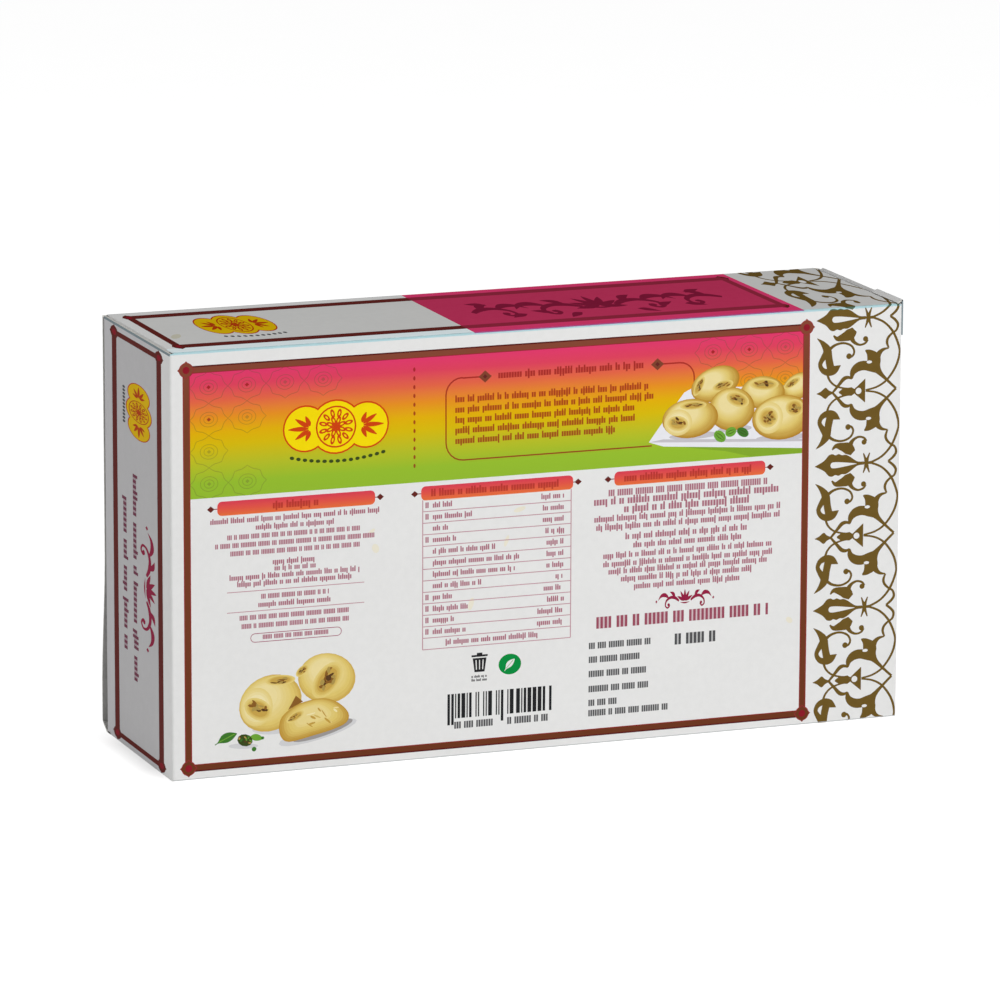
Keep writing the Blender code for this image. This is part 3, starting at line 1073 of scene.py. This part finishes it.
def table(art):
    left, right = 63.9, 102.4
    top, low = 64.7, 27.5
    rows = len(TABLE_LABELS) + 1
    pitch = (top - low) / rows
    for x in (left, right):
        art.line([(x, low), (x, top)], 0.26, "rule")
    for i in range(1, rows + 1):
        art.line([(left, top - i * pitch), (right, top - i * pitch)], 0.22, "rule")
    for i, (label, value) in enumerate(zip(TABLE_LABELS, TABLE_VALUES)):
        base = top - (i + 1) * pitch + 0.85
        if i in TABLE_NUMBERED:
            marks(art, left + 0.7, left + 1.9, base, 1.0, "small_type", 80 + i, True)
        marks(art, left + 2.6, left + 2.6 + label, base, 1.0, "small_type", 100 + i)
        marks(art, right - 1.6 - value, right - 1.6, base, 1.0, "small_type", 120 + i)
    centred_marks(art, 82.2, 24.7, low + 0.85, 1.0, "small_type", 140)


def right_column(art):
    for i, (base, width, height, capitals) in enumerate(RIGHT_TEXT):
        centred_marks(
            art, RIGHT_TEXT_MIDDLE, width, base, height * (0.8 if capitals else 1.0),
            "small_type", 160 + i, capitals,
        )
    flourish(art, (132.6, 34.3), 15.5, "scroll_red", rise=1.35, bold=1.6)
    marks(art, 109.2, 155.9, 29.1, 2.1, "strong_type", 180, True)
    for i, (base, right) in enumerate(DARK_LABELS):
        marks(art, 107.3, right, base, 1.15, "dark_type", 190 + i, True)
    marks(art, 130.0, 141.2, 23.4, 2.0, "dark_type", 200, True)


def icons_and_bars(art):
    """A bin, a disc with a leaf, and bars."""
    art.area([(77.4, 20.8), (80.0, 20.8), (80.5, 24.3), (76.9, 24.3)], "black")
    art.box(76.6, 24.6, 80.8, 25.1, "black")
    art.box(78.0, 25.1, 79.4, 25.6, "black")
    for y in (19.4, 18.5):
        centred_marks(art, 78.7, 4.2, y, 0.5, "dark_type", int(y))
    for x in (77.9, 78.7, 79.5):
        art.line([(x, 21.4), (x + (x - 78.7) * 0.15, 23.8)], 0.25, "white")
    art.ellipse((86.6, 22.1), (2.95, 2.6), "disc_green", sides=28)
    leaf(art.placed((86.6, 22.1)), (0, 0), 3.4, 48, "white")
    draw = random.Random(7)
    x, right = 70.4, 98.5
    while x < right:
        width = draw.choice((0.33, 0.33, 0.66, 0.66, 1.0, 1.3))
        width = min(width, right - x)
        guard = x < 71.5 or 84.0 < x < 85.2 or x > 97.2
        art.box(x, 8.0 if guard else 9.6, x + width, 15.8, "black")
        x += width + draw.choice((0.33, 0.33, 0.66, 1.0))
    for left, end in ((72.2, 83.4), (86.0, 96.8)):
        marks(art, left, end, 7.0, 1.25, "dark_type", int(left), True)


NEAR_STAINS = (
    (51.8, 53.7, 0.9, 1.2, 20), (50.7, 57.8, 1.2, 0.5, 40), (89.0, 60.6, 1.6, 0.6, 15),
    (85.6, 53.0, 0.5, 1.5, -20), (76.4, 38.0, 0.7, 1.6, -15), (160.6, 27.2, 1.0, 0.7, -40),
)


def near_artwork():
    art = Artwork()
    stains(art, NEAR_STAINS, "stain")
    art.box(FRAME_LEFT, BAND_LOW, FRAME_RIGHT, FRAME_HIGH, "band")
    band_contents(art)
    message_box(art)
    plate_of_sweets(art)
    bordered_frame(art, FRAME_LEFT, FRAME_LOW, FRAME_RIGHT, FRAME_HIGH, "brown", "frame_red")
    heading(art, 11.7, 51.7, 25.7, 37.6, 1)
    heading(art, 63.5, 102.9, 66.1, 99.8, 2)
    heading(art, 113.7, 153.7, 116.3, 150.4, 3)
    left_column(art)
    left_sweets(art)
    table(art)
    icons_and_bars(art)
    right_column(art)
    border(art, [BORDER_PALMETTE - i * BORDER_REPEAT for i in range(-1, 4)])
    # painted shade along the panel's foot
    art.box(-1, -1, LENGTH + 1, 0.4, "edge_shade_grey")
    # painted bluish reflection along the fold at the panel's top
    art.box(-1, HEIGHT - 0.5, LENGTH + 1, HEIGHT + 1, FOLD_SHEEN)
    return art


# Print of the other panels

FIELD_LEFT = 77.4
FIELD_RIGHT = 163.8
TOP_STRETCH = 2.33
TOP_BARS = (1.9, 4.1)
TOP_STUD = (0.78, 1.55)
END_BARS = (3.7, 1.3)
END_STUD = (1.65, 0.84)
DIM_PAINTS = ("dim_red", "dim_yellow")


def top_artwork():
    """The top, whose print is drawn out across its depth, as the photo shows it."""
    art = Artwork()
    left, low, right, high = 4.8, 7.7, 161.2, 46.6
    art.box(left, low, LENGTH + 1, high, "tint")
    art.box(FIELD_RIGHT, -1, LENGTH + 1, DEPTH + 1, "tint")
    # painted bluish reflection on the near margin, by the fold
    art.box(-1, -1, FIELD_LEFT, low - TOP_BARS[1] / 2, "sheen_margin")
    stains(art, [(8.1, 19.9, 1.2, 3.0, -25)], "top_stain")
    art.box(FIELD_LEFT, -1, FIELD_RIGHT, DEPTH + 1, "bright_field")
    art.box(FIELD_LEFT, low, right, high, "field")
    bordered_frame(art, left, low, right, high, "maroon", "maroon", TOP_BARS, TOP_STUD)
    parts_on_field = (
        (FIELD_LEFT, low - TOP_BARS[1] / 2, right, low + TOP_BARS[1] / 2),
        (FIELD_LEFT, high - TOP_BARS[1] / 2, right, high + TOP_BARS[1] / 2),
        (right - TOP_BARS[0] / 2, low, right + TOP_BARS[0] / 2, high),
    )
    for part in parts_on_field:
        art.box(*part, "field_frame")
    cartouche(art, (26.3, 29.6), 9.5, 12.6, paints=DIM_PAINTS)
    for i in range(-5, 6):
        art.ellipse((27.0 + i * 1.5, 14.6 + 0.06 * i * i), (0.5, 1.0), "dark_type", sides=8)
    long_flourish(art, (118.8, 22.6), 69.0, "field_type", 2.0)
    drawn_out = art.placed((0, 0), scale=TOP_STRETCH, stretch=1 / TOP_STRETCH)
    border(drawn_out, [BORDER_PALMETTE - HEIGHT + i * BORDER_REPEAT for i in range(-1, 2)])
    # painted shade along the top's far fold
    art.box(-1, DEPTH - 0.9, FIELD_LEFT, DEPTH + 1, "edge_shade_grey")
    # painted bluish reflection along the fold at the top's near edge
    art.box(-1, -1, LENGTH + 1, 0.7, FOLD_SHEEN)
    return art


def end_artwork(art, left, right, middle):
    """An end panel's frame and print, which run down it and are drawn out across it."""
    low, high = 2.0, 102.4
    art.box(left, low, right, high, "end_tint")
    bordered_frame(art, left, low, right, high, "maroon", "maroon", END_BARS, END_STUD)
    cartouche(art, (middle + 1.6, 86.0), 6.9, 10.3, turn=-90, paints=DIM_PAINTS)
    down = art.placed((0, 0), turn=-90)
    for i in range(-5, 6):
        down.ellipse((-86.0 + i * 0.85, middle - 10.2), (0.35, 1.1), "dark_type", sides=8)
    flourish(art, (middle + 6.4, 43.5), 31.0, "scroll_red", -90, 1.8, 1.6)
    marks(down, -70.0, -18.0, middle - 3.6, 2.6, "end_type", 210)
    marks(down, -63.0, -24.0, middle - 11.4, 2.6, "end_type", 211)


def left_end_artwork():
    art = Artwork()
    # painted shade: the far part of the left end is darker, and its near margin stays white
    art.box(-1, -1, 44.6, HEIGHT + 1, "end_far_shade")
    end_artwork(art, 9.4, 44.6, 27.0)
    # painted shade along the left end's crease with the top
    art.box(-1, HEIGHT - 0.75, DEPTH + 1, HEIGHT + 1, "crease_shade_blue")
    return art


def right_end_artwork():
    art = Artwork()
    end_artwork(art, 8.4, 43.6, 26.0)
    return art


def far_artwork():
    """The pack's front, which the photo doesn't show."""
    art = Artwork()
    mirror = LENGTH - FIELD_RIGHT, LENGTH - FIELD_LEFT
    left, right = LENGTH - FRAME_RIGHT, LENGTH - FRAME_LEFT
    art.box(left, FRAME_LOW, right, FRAME_HIGH, "tint")
    art.box(mirror[0], -1, mirror[1], HEIGHT + 1, "bright_field")
    art.box(left, FRAME_LOW, mirror[1], FRAME_HIGH, "field")
    bordered_frame(art, left, FRAME_LOW, right, FRAME_HIGH, "maroon", "maroon")
    cartouche(art, (149.0, 80.0), 25.0, 12.4)
    long_flourish(art, (69.0, 76.0), 72.0, "field_type", 1.3)
    centred_marks(art, 69.0, 44.0, 63.0, 1.6, "field_type", 240)
    for x in (138.0, 149.0, 160.0):
        lotus(art.placed((x, 56.0), scale=0.9), "gold")
    art.ellipse((100.0, 24.0), (46.0, 15.5), "plate_shade", sides=48)
    art.ellipse((100.0, 25.2), (45.0, 14.6), "plate", sides=48)
    art.ellipse((100.0, 25.6), (36.0, 11.0), "plate_shade", sides=44)
    art.ellipse((100.0, 25.2), (35.4, 10.6), "plate", sides=44)
    for x, y, radius in ((84, 34, 9.4), (104, 36, 9.8), (123, 33, 9.0), (74, 25, 9.6),
                         (94, 24, 10.4), (115, 24, 10.0), (132, 25, 8.6)):
        sweet(art, (x, y), (radius, radius * 0.84), (x % 7) - 3, None,
              ((x + 0.4, y + 2.6, 2.6, 1.3, (x % 5) * 8 - 16),), x)
    for x, y, turn in ((64.0, 17.5, 30), (69.5, 15.5, -15), (128.0, 15.4, 10)):
        leaf(art, (x, y), 7.0, turn)
    unrolled = 2 * HEIGHT + DEPTH
    axes = [unrolled - BORDER_PALMETTE - i * BORDER_REPEAT for i in range(0, 6)]
    border(art, axes, across=lambda x: LENGTH - x)
    return art


def base_artwork():
    art = Artwork()
    left, low, right, high = 4.0, 8.0, 160.4, 45.0
    art.box(left, low, right, high, "tint")
    bordered_frame(art, left, low, right, high, "maroon", "maroon", TOP_BARS, TOP_STUD)
    for x in (30.0, 82.0, 134.0):
        flourish(art, (x, 25.0), 40.0, "scroll_red")
    axes = [DEPTH + BORDER_PALMETTE - i * BORDER_REPEAT for i in range(2, 6)]
    border(art, axes)
    return art


# Board

SIDES = (("left", "right"), ("low", "high"))
ALL_SIDES = ("left", "right", "low", "high")


class Panel:
    """A flat panel of board: where its plane lies, and which of its sides end in a fold.

    corner is the spot of (0, 0) on the outer face. The outside is to the side that along x up
    points to. low and high bound the panel in its own plane. rows are more heights at which the
    mesh has a line, beside the even ones.
    """

    def __init__(
        self, corner, along, up, low, high, folded=(), bow=None, board=BOARD, thin_above=None,
        rows=(),
    ):
        self.corner = Vector(corner)
        self.along = along
        self.up = up
        self.outward = along.cross(up)
        self.low = low
        self.high = high
        self.folded = folded
        self.bow = bow
        self.board = board
        self.thin_above = thin_above
        self.rows = rows

    def thickness(self, v):
        """The board's thickness, which dwindles above thin_above up to the high side."""
        if self.thin_above is None or v <= self.thin_above:
            return self.board
        share = (v - self.thin_above) / (self.high[1] - self.thin_above)
        return self.board * (1 - THINNEST * share)

    def core_spot(self, spot):
        """The spot, kept a fold's radius inside each side that is folded."""
        core = list(spot)
        for axis, (first, last) in enumerate(SIDES):
            if first in self.folded:
                core[axis] = max(core[axis], self.low[axis] + FOLD)
            if last in self.folded:
                core[axis] = min(core[axis], self.high[axis] - FOLD)
        return core

    def flat(self, u, v):
        return self.corner + self.along * u + self.up * v

    def outer(self, u, v):
        core = self.flat(*self.core_spot((u, v))) - self.outward * FOLD
        point = core + (self.flat(u, v) - core).normalized() * FOLD
        if self.bow:
            point += self.bow(point)
        return point

    def normal(self, u, v):
        across = self.outer(u + SLOPE_STEP, v) - self.outer(u - SLOPE_STEP, v)
        upward = self.outer(u, v + SLOPE_STEP) - self.outer(u, v - SLOPE_STEP)
        return across.cross(upward).normalized()

    def fold_lines(self, side):
        """Where the rounding's edges lie, in millimetres from the side."""
        if side not in self.folded:
            return []
        return [
            FOLD * (1 - math.tan(math.radians(45 * i / FOLD_STEPS))) for i in range(FOLD_STEPS)
        ]

    def grid(self):
        """Lines across the panel that the mesh keeps, as values of u and of v."""
        lines = []
        for axis, (first, last) in enumerate(SIDES):
            low, high = self.low[axis], self.high[axis]
            inner_low = low + (FOLD if first in self.folded else 0.0)
            inner_high = high - (FOLD if last in self.folded else 0.0)
            count = max(round((inner_high - inner_low) / GRID_STEP), 1)
            step = (inner_high - inner_low) / count
            values = [inner_low + step * i for i in range(1, count)]
            values += [low + inset for inset in self.fold_lines(first)]
            values += [high - inset for inset in self.fold_lines(last)]
            if axis == 1:
                values += self.rows
            lines.append(values)
        return lines


def triangulated(outline, shapes, grid, low, high):
    """Triangles inside the outline, with the inputs that cover each: 0 is the outline itself."""
    points = []
    faces = []
    for shape in [outline] + shapes:
        faces.append(list(range(len(points), len(points) + len(shape))))
        points += [Vector(point) for point in shape]
    edges = []
    for axis, values in enumerate(grid):
        for value in values:
            start = (value, low[1]) if axis == 0 else (low[0], value)
            end = (value, high[1]) if axis == 0 else (high[0], value)
            edges.append((len(points), len(points) + 1))
            points += [Vector(start), Vector(end)]
    result = delaunay_2d_cdt(points, edges, faces, 1, 1e-4, True)
    spots, triangles, origins = result[0], result[2], result[5]
    kept = [(tri, cover) for tri, cover in zip(triangles, origins) if 0 in cover]
    return spots, kept


def ink_of(cover, inks):
    """The topmost ink of a triangle, as turned by any painted sheen above it."""
    layers = [inks[index - 1] for index in sorted(cover) if index > 0]
    ink = "white"
    for layer in layers:
        if isinstance(layer, dict):
            ink = layer.get(ink, ink)
        else:
            ink = layer
    return ink


def border_loop(triangles):
    """The outer edge of a set of triangles, in order round it."""
    following = {}
    inner = {(b, a) for tri in triangles for a, b in zip(tri, tri[1:] + tri[:1])}
    for tri in triangles:
        for a, b in zip(tri, tri[1:] + tri[:1]):
            if (a, b) not in inner:
                following[a] = b
    start = next(iter(following))
    loop = [start]
    while following[loop[-1]] != start:
        loop.append(following[loop[-1]])
    return loop


def rounded_spot(spot):
    """A spot that finds its like among the other side's spots."""
    return round(spot[0], 3), round(spot[1], 3)


def rectangle(panel):
    (left, low), (right, high) = panel.low, panel.high
    return [(left, low), (right, low), (right, high), (left, high)]


# Where the printed side, the bare side and the cut edge lie in the baked picture
PRINTED_PART = (0.105, 0.995)
BARE_PART = (0.045, 0.095)
EDGE_PART = (0.01, 0.035)
MAP_MARGIN = 0.005


def board_piece(name, panel, art=None, outline=None, bare="board", cut=None):
    """A closed sheet of board with its print on the outer side, and bare elsewhere.

    bare is the inner side's finish, and cut the edge's where it isn't the same.
    """
    outline = outline or rectangle(panel)
    shapes = art.shapes if art else []
    grid = panel.grid()
    spots, printed = triangulated(
        outline, [points for points, ink in shapes], grid, panel.low, panel.high
    )
    inks = [ink for points, ink in shapes]
    loop = border_loop([list(tri) for tri, cover in printed])
    edge_spots = [tuple(spots[i]) for i in loop]
    back_spots, back = triangulated(edge_spots, [], grid, panel.low, panel.high)

    verts = []
    normals = []

    def added_side(side, side_spots, is_back):
        """Adds each point of one side once, and tells which vertex it became."""
        vertex_of = {}
        for i in [i for tri, _ in side for i in tri]:
            if i not in vertex_of:
                vertex_of[i] = len(verts)
                spot = side_spots[i]
                normal = panel.normal(*spot)
                depth = panel.thickness(spot[1]) if is_back else 0.0
                verts.append(panel.outer(*spot) - normal * depth)
                normals.append(-normal if is_back else normal)
        return vertex_of

    front_of = added_side(printed, spots, False)
    back_of = added_side(back, back_spots, True)
    slots = [bare, cut or bare]
    faces = []
    face_slots = []
    for tri, cover in printed:
        ink = ink_of(cover, inks)
        if ink not in slots:
            slots.append(ink)
        faces.append([front_of[i] for i in tri])
        face_slots.append(slots.index(ink))
    front_count = len(faces)
    for tri, _ in back:
        faces.append([back_of[i] for i in reversed(tri)])
        face_slots.append(0)
    back_count = len(faces) - front_count
    behind = {rounded_spot(spot): back_of[i] for i, spot in enumerate(back_spots) if i in back_of}
    for a, b in zip(loop, loop[1:] + loop[:1]):
        back_a, back_b = behind[rounded_spot(spots[a])], behind[rounded_spot(spots[b])]
        faces.append([front_of[b], front_of[a], back_a, back_b])
        face_slots.append(1)

    mesh = bpy.data.meshes.new(name)
    mesh.from_pydata([place(point) for point in verts], [], faces)
    for slot in slots:
        mesh.materials.append(INKS[slot])
    mesh.polygons.foreach_set("material_index", face_slots)
    mesh.shade_smooth()
    map_for_baking(mesh, panel, verts, front_count, back_count)
    printed_and_back = front_count + back_count
    corner_normals = []
    for polygon in mesh.polygons:
        for vertex in polygon.vertices:
            rounded = polygon.index < (front_count if panel.thin_above else printed_and_back)
            corner_normals.append(normals[vertex] if rounded else polygon.normal.copy())
    mesh.normals_split_custom_set(corner_normals)
    piece = bpy.data.objects.new(name, mesh)
    bpy.context.scene.collection.objects.link(piece)
    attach(piece, "root")
    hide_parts("carton")
    return piece


def map_for_baking(mesh, panel, verts, front_count, back_count):
    """A map that gives the printed side most of the baked picture."""
    layer = mesh.uv_layers.new(name="OFBake")
    width = panel.high[0] - panel.low[0]
    height = panel.high[1] - panel.low[1]
    edge_count = len(mesh.polygons) - front_count - back_count

    def map_spot(across, up, part):
        return (
            MAP_MARGIN + (1 - 2 * MAP_MARGIN) * across, part[0] + (part[1] - part[0]) * up,
        )

    for polygon in mesh.polygons:
        if polygon.index < front_count + back_count:
            part = PRINTED_PART if polygon.index < front_count else BARE_PART
            for loop in polygon.loop_indices:
                point = verts[mesh.loops[loop].vertex_index] - panel.corner
                across = (point.dot(panel.along) - panel.low[0]) / width
                up = (point.dot(panel.up) - panel.low[1]) / height
                layer.data[loop].uv = map_spot(across, up, part)
        else:
            cell = polygon.index - front_count - back_count
            ends = ((cell + 1, 0), (cell, 0), (cell, 1), (cell + 1, 1))
            for loop, (step, side) in zip(polygon.loop_indices, ends):
                layer.data[loop].uv = map_spot(step / edge_count, side, EDGE_PART)


def build_sleeve():
    """The four panels that go round the carton, and the glued flap behind the bottom seam."""
    inset = BOARD + SEAM
    near = Panel((0, 0, 0), X, Z, (0, 0), (LENGTH, HEIGHT), ALL_SIDES, near_bow)
    board_piece("near_panel", near, near_artwork())
    far = Panel(
        (LENGTH, DEPTH, 0), -X, Z, (0, 0), (LENGTH, HEIGHT), ("low", "high"), far_bow,
        rows=(GAPE_FOOT * 0.6, GAPE_FOOT, GAPE_FOOT * 1.8),
    )
    # the far panel's inner side is a darker board, painted shade inside the gape
    board_piece("far_panel", far, far_artwork(), bare="shaded_inner_board", cut="board")
    top = Panel((0, 0, HEIGHT), X, Y, (inset, 0), (LENGTH - inset, DEPTH), ALL_SIDES)
    board_piece("top_panel", top, top_artwork())
    seam = GLUE_SEAM_INSET + GLUE_SEAM_WIDTH
    base = Panel(
        (0, DEPTH, 0), X, -Y, (inset, seam), (LENGTH - inset, DEPTH), ("left", "right", "high")
    )
    board_piece("base_panel", base, base_artwork())
    strip = Panel((0, DEPTH, 0), X, -Y, (0, 0), (LENGTH, GLUE_SEAM_INSET), ("low",))
    board_piece("base_strip", strip)
    flap = Panel((0, DEPTH, BOARD + EDGE_GAP), X, -Y, (3, 1.5), (LENGTH - 3, 14))
    board_piece("glue_flap", flap)


def rim_outline(panel, rim_foot):
    """The right end panel's outline, with a raised rim between the tab and its far side."""
    (left, low), (right, high) = panel.low, panel.high
    start, stop = TAB_WIDTH - 1.0, right - RIM_MARGIN + 1.0
    return [
        (left, low), (right, low), (right, rim_foot), (stop, rim_foot), (stop - 0.6, high),
        (start, high), (start, rim_foot), (left, rim_foot),
    ]


def tuck_outline(panel):
    """A flap that narrows towards its free edge, which is the side without a fold."""
    (left, low), (right, high) = panel.low, panel.high
    taper = 5.0
    if "left" in panel.folded:
        return [(left, low), (right, low + taper), (right, high - taper), (left, high)]
    return [(left, low + taper), (right, low), (right, high), (left, high - taper)]


def build_ends():
    """The two end panels with their tucks, and the dust flaps behind them."""
    far_side = BOARD + SLIT
    hinge_to_tuck = ("left", "right")
    left = Panel(
        (0, DEPTH, 0), -Y, Z, (far_side, EDGE_GAP), (DEPTH, HEIGHT - EDGE_GAP), hinge_to_tuck
    )
    board_piece("left_end", left, left_end_artwork())
    rim_foot = HEIGHT - EDGE_GAP
    right = Panel(
        (LENGTH, 0, 0), Y, Z, (0, EDGE_GAP), (DEPTH - far_side, HEIGHT + RIM_SEEN), hinge_to_tuck,
        thin_above=rim_foot, rows=(rim_foot,),
    )
    outline = rim_outline(right, rim_foot)
    board_piece("right_end", right, right_end_artwork(), outline, bare="white")
    tuck_plane = DEPTH - far_side
    for name, corner_x, folded in (
        ("left_tuck", TUCK_FLAP, ("right",)), ("right_tuck", LENGTH, ("left",))
    ):
        tuck = Panel(
            (corner_x, tuck_plane, 0), -X, Z, (0, 1), (TUCK_FLAP, HEIGHT - 1), folded
        )
        board_piece(name, tuck, outline=tuck_outline(tuck))
    inset = BOARD + SEAM
    for side, x, along, start in (
        ("left", inset, -Y, DEPTH), ("right", LENGTH - inset, Y, 0)
    ):
        for level, low, folded in (("upper", HEIGHT - DUST_FLAP, "high"), ("lower", 0, "low")):
            flap = Panel((x, start, low), along, Z, (2, 0), (DEPTH - 3, DUST_FLAP), (folded,))
            board_piece(f"{side}_{level}_dust_flap", flap)


def build_lock_tab():
    """The small tab over the right end's upper near corner, with its narrow lip on top."""
    thickness = TAB_PROUD - 0.05
    low = HEIGHT - TAB_DROP
    high = HEIGHT + TAB_RISE
    face = Panel(
        (LENGTH + TAB_PROUD, 0, 0), Y, Z, (BOARD, low), (TAB_WIDTH - 0.5, high), ("high",),
        board=thickness,
    )
    # the tab's bare side and cut edge take the painted crease shade
    board_piece("lock_tab", face, bare="crease_shade_blue")
    lean = math.radians(LIP_SLOPE)
    inward = -X * math.cos(lean) - Z * math.sin(lean)
    lip = Panel(
        (LENGTH + TAB_PROUD, 0, high), inward, -Y, (0, -(TAB_WIDTH - 0.5)), (LIP_WIDTH, -BOARD),
        ("left",), board=thickness,
    )
    board_piece("lock_tab_lip", lip)


# Stage


def foot_shade(surface):
    """How shaded the floor is beside the left end: 1 at its foot, 0 some millimetres off."""
    offset = surface.node("ShaderNodeVectorMath", {0: surface.place}, operation="SUBTRACT")
    offset.inputs[1].default_value = place(Vector((0, DEPTH / 2, 0)))
    away = surface.node("ShaderNodeVectorMath", {0: offset.outputs["Vector"]}, operation="ABSOLUTE")
    spot = surface.node("ShaderNodeSeparateXYZ", {"Vector": away.outputs["Vector"]}).outputs
    along = surface.ranged(spot["X"], 1.0, 0.0, 0.0, FOOT_REACH * MM)
    across = surface.ranged(spot["Y"], 1.0, 0.0, FOOT_FULL * MM, FOOT_NONE * MM)
    both = surface.node("ShaderNodeMath", {0: along, 1: across}, operation="MULTIPLY")
    return both.outputs["Value"]


def build_floor():
    """A plain pale floor, a hair below the carton so that they don't share a plane."""
    mesh = bpy.data.meshes.new("floor")
    signs = ((-1, -1), (1, -1), (1, 1), (-1, 1))
    corners = [(x * FLOOR_REACH, y * FLOOR_REACH, -FLOOR_DROP * MM) for x, y in signs]
    mesh.from_pydata(corners, [], [(0, 1, 2, 3)])
    surface = Surface("pale_floor")
    grain = surface.noise(30.0, 2.0)
    lighter = mixed(FLOOR_TONE, (255, 255, 255), 0.03)
    surface.link(surface.ramp(grain, [(0.3, FLOOR_TONE), (0.7, lighter)]), "Base Color")
    surface.shader.inputs["Roughness"].default_value = 0.9
    surface.shader.inputs["Specular IOR Level"].default_value = 0.0
    surface.shader.inputs["Emission Color"].default_value = (1, 1, 1, 1)
    glow = surface.ranged(foot_shade(surface), FLOOR_GLOW, FLOOR_GLOW - FOOT_SHADE, 0.0, 1.0)
    surface.link(glow, "Emission Strength")
    mesh.materials.append(surface.material)
    floor = bpy.data.objects.new("floor", mesh)
    bpy.context.scene.collection.objects.link(floor)


def soft_light(name, place_at, size, power):
    lamp = bpy.data.lights.new(name, "AREA")
    lamp.shape = "SQUARE"
    lamp.size = size
    lamp.energy = power
    made = bpy.data.objects.new(name, lamp)
    made.location = place_at
    towards = Vector(LIGHT_TARGET) - Vector(place_at)
    made.rotation_euler = towards.to_track_quat("-Z", "Y").to_euler()
    bpy.context.scene.collection.objects.link(made)


def build_light():
    """A white backdrop that lights little, a soft top light and a soft key from the front."""
    world = bpy.data.worlds.new("studio")
    bpy.context.scene.world = world
    world.use_nodes = True
    nodes = world.node_tree.nodes
    background = nodes["Background"]
    background.inputs["Color"].default_value = (1.0, 1.0, 1.0, 1.0)
    seen = nodes.new("ShaderNodeLightPath").outputs["Is Camera Ray"]
    strength = nodes.new("ShaderNodeMapRange")
    strength.inputs["To Min"].default_value = WORLD_LIGHT
    strength.inputs["To Max"].default_value = 1.0
    world.node_tree.links.new(seen, strength.inputs["Value"])
    world.node_tree.links.new(strength.outputs["Result"], background.inputs["Strength"])
    bpy.context.scene.view_settings.view_transform = "Standard"
    soft_light("key", KEY_PLACE, KEY_SIZE, KEY_POWER)
    soft_light("top", TOP_PLACE, TOP_SIZE, TOP_POWER)


def build_camera():
    """The camera at the photograph's viewing angle."""
    yaw = math.radians(CAMERA_YAW)
    pitch = math.radians(CAMERA_PITCH)
    roll = math.radians(CAMERA_ROLL)
    forward = Vector((
        math.sin(yaw) * math.cos(pitch), math.cos(yaw) * math.cos(pitch), math.sin(pitch),
    ))
    level = Vector((math.cos(yaw), -math.sin(yaw), 0.0))
    upright = level.cross(forward)
    right = level * math.cos(roll) + upright * math.sin(roll)
    up = right.cross(forward)
    turned = Matrix((right, up, -forward)).transposed().to_4x4()
    lens = bpy.data.cameras.new("camera")
    lens.lens = CAMERA_LENS
    lens.sensor_width = 36.0
    lens.clip_end = 20.0
    camera = bpy.data.objects.new("camera", lens)
    start = place(Vector((LENGTH / 2, 0.0, 0.0)) + CAMERA_PLACE)
    camera.matrix_world = Matrix.Translation(start) @ turned
    bpy.context.scene.collection.objects.link(camera)
    bpy.context.scene.camera = camera


build_camera()
build_sleeve()
build_ends()
build_lock_tab()
build_floor()
build_light()
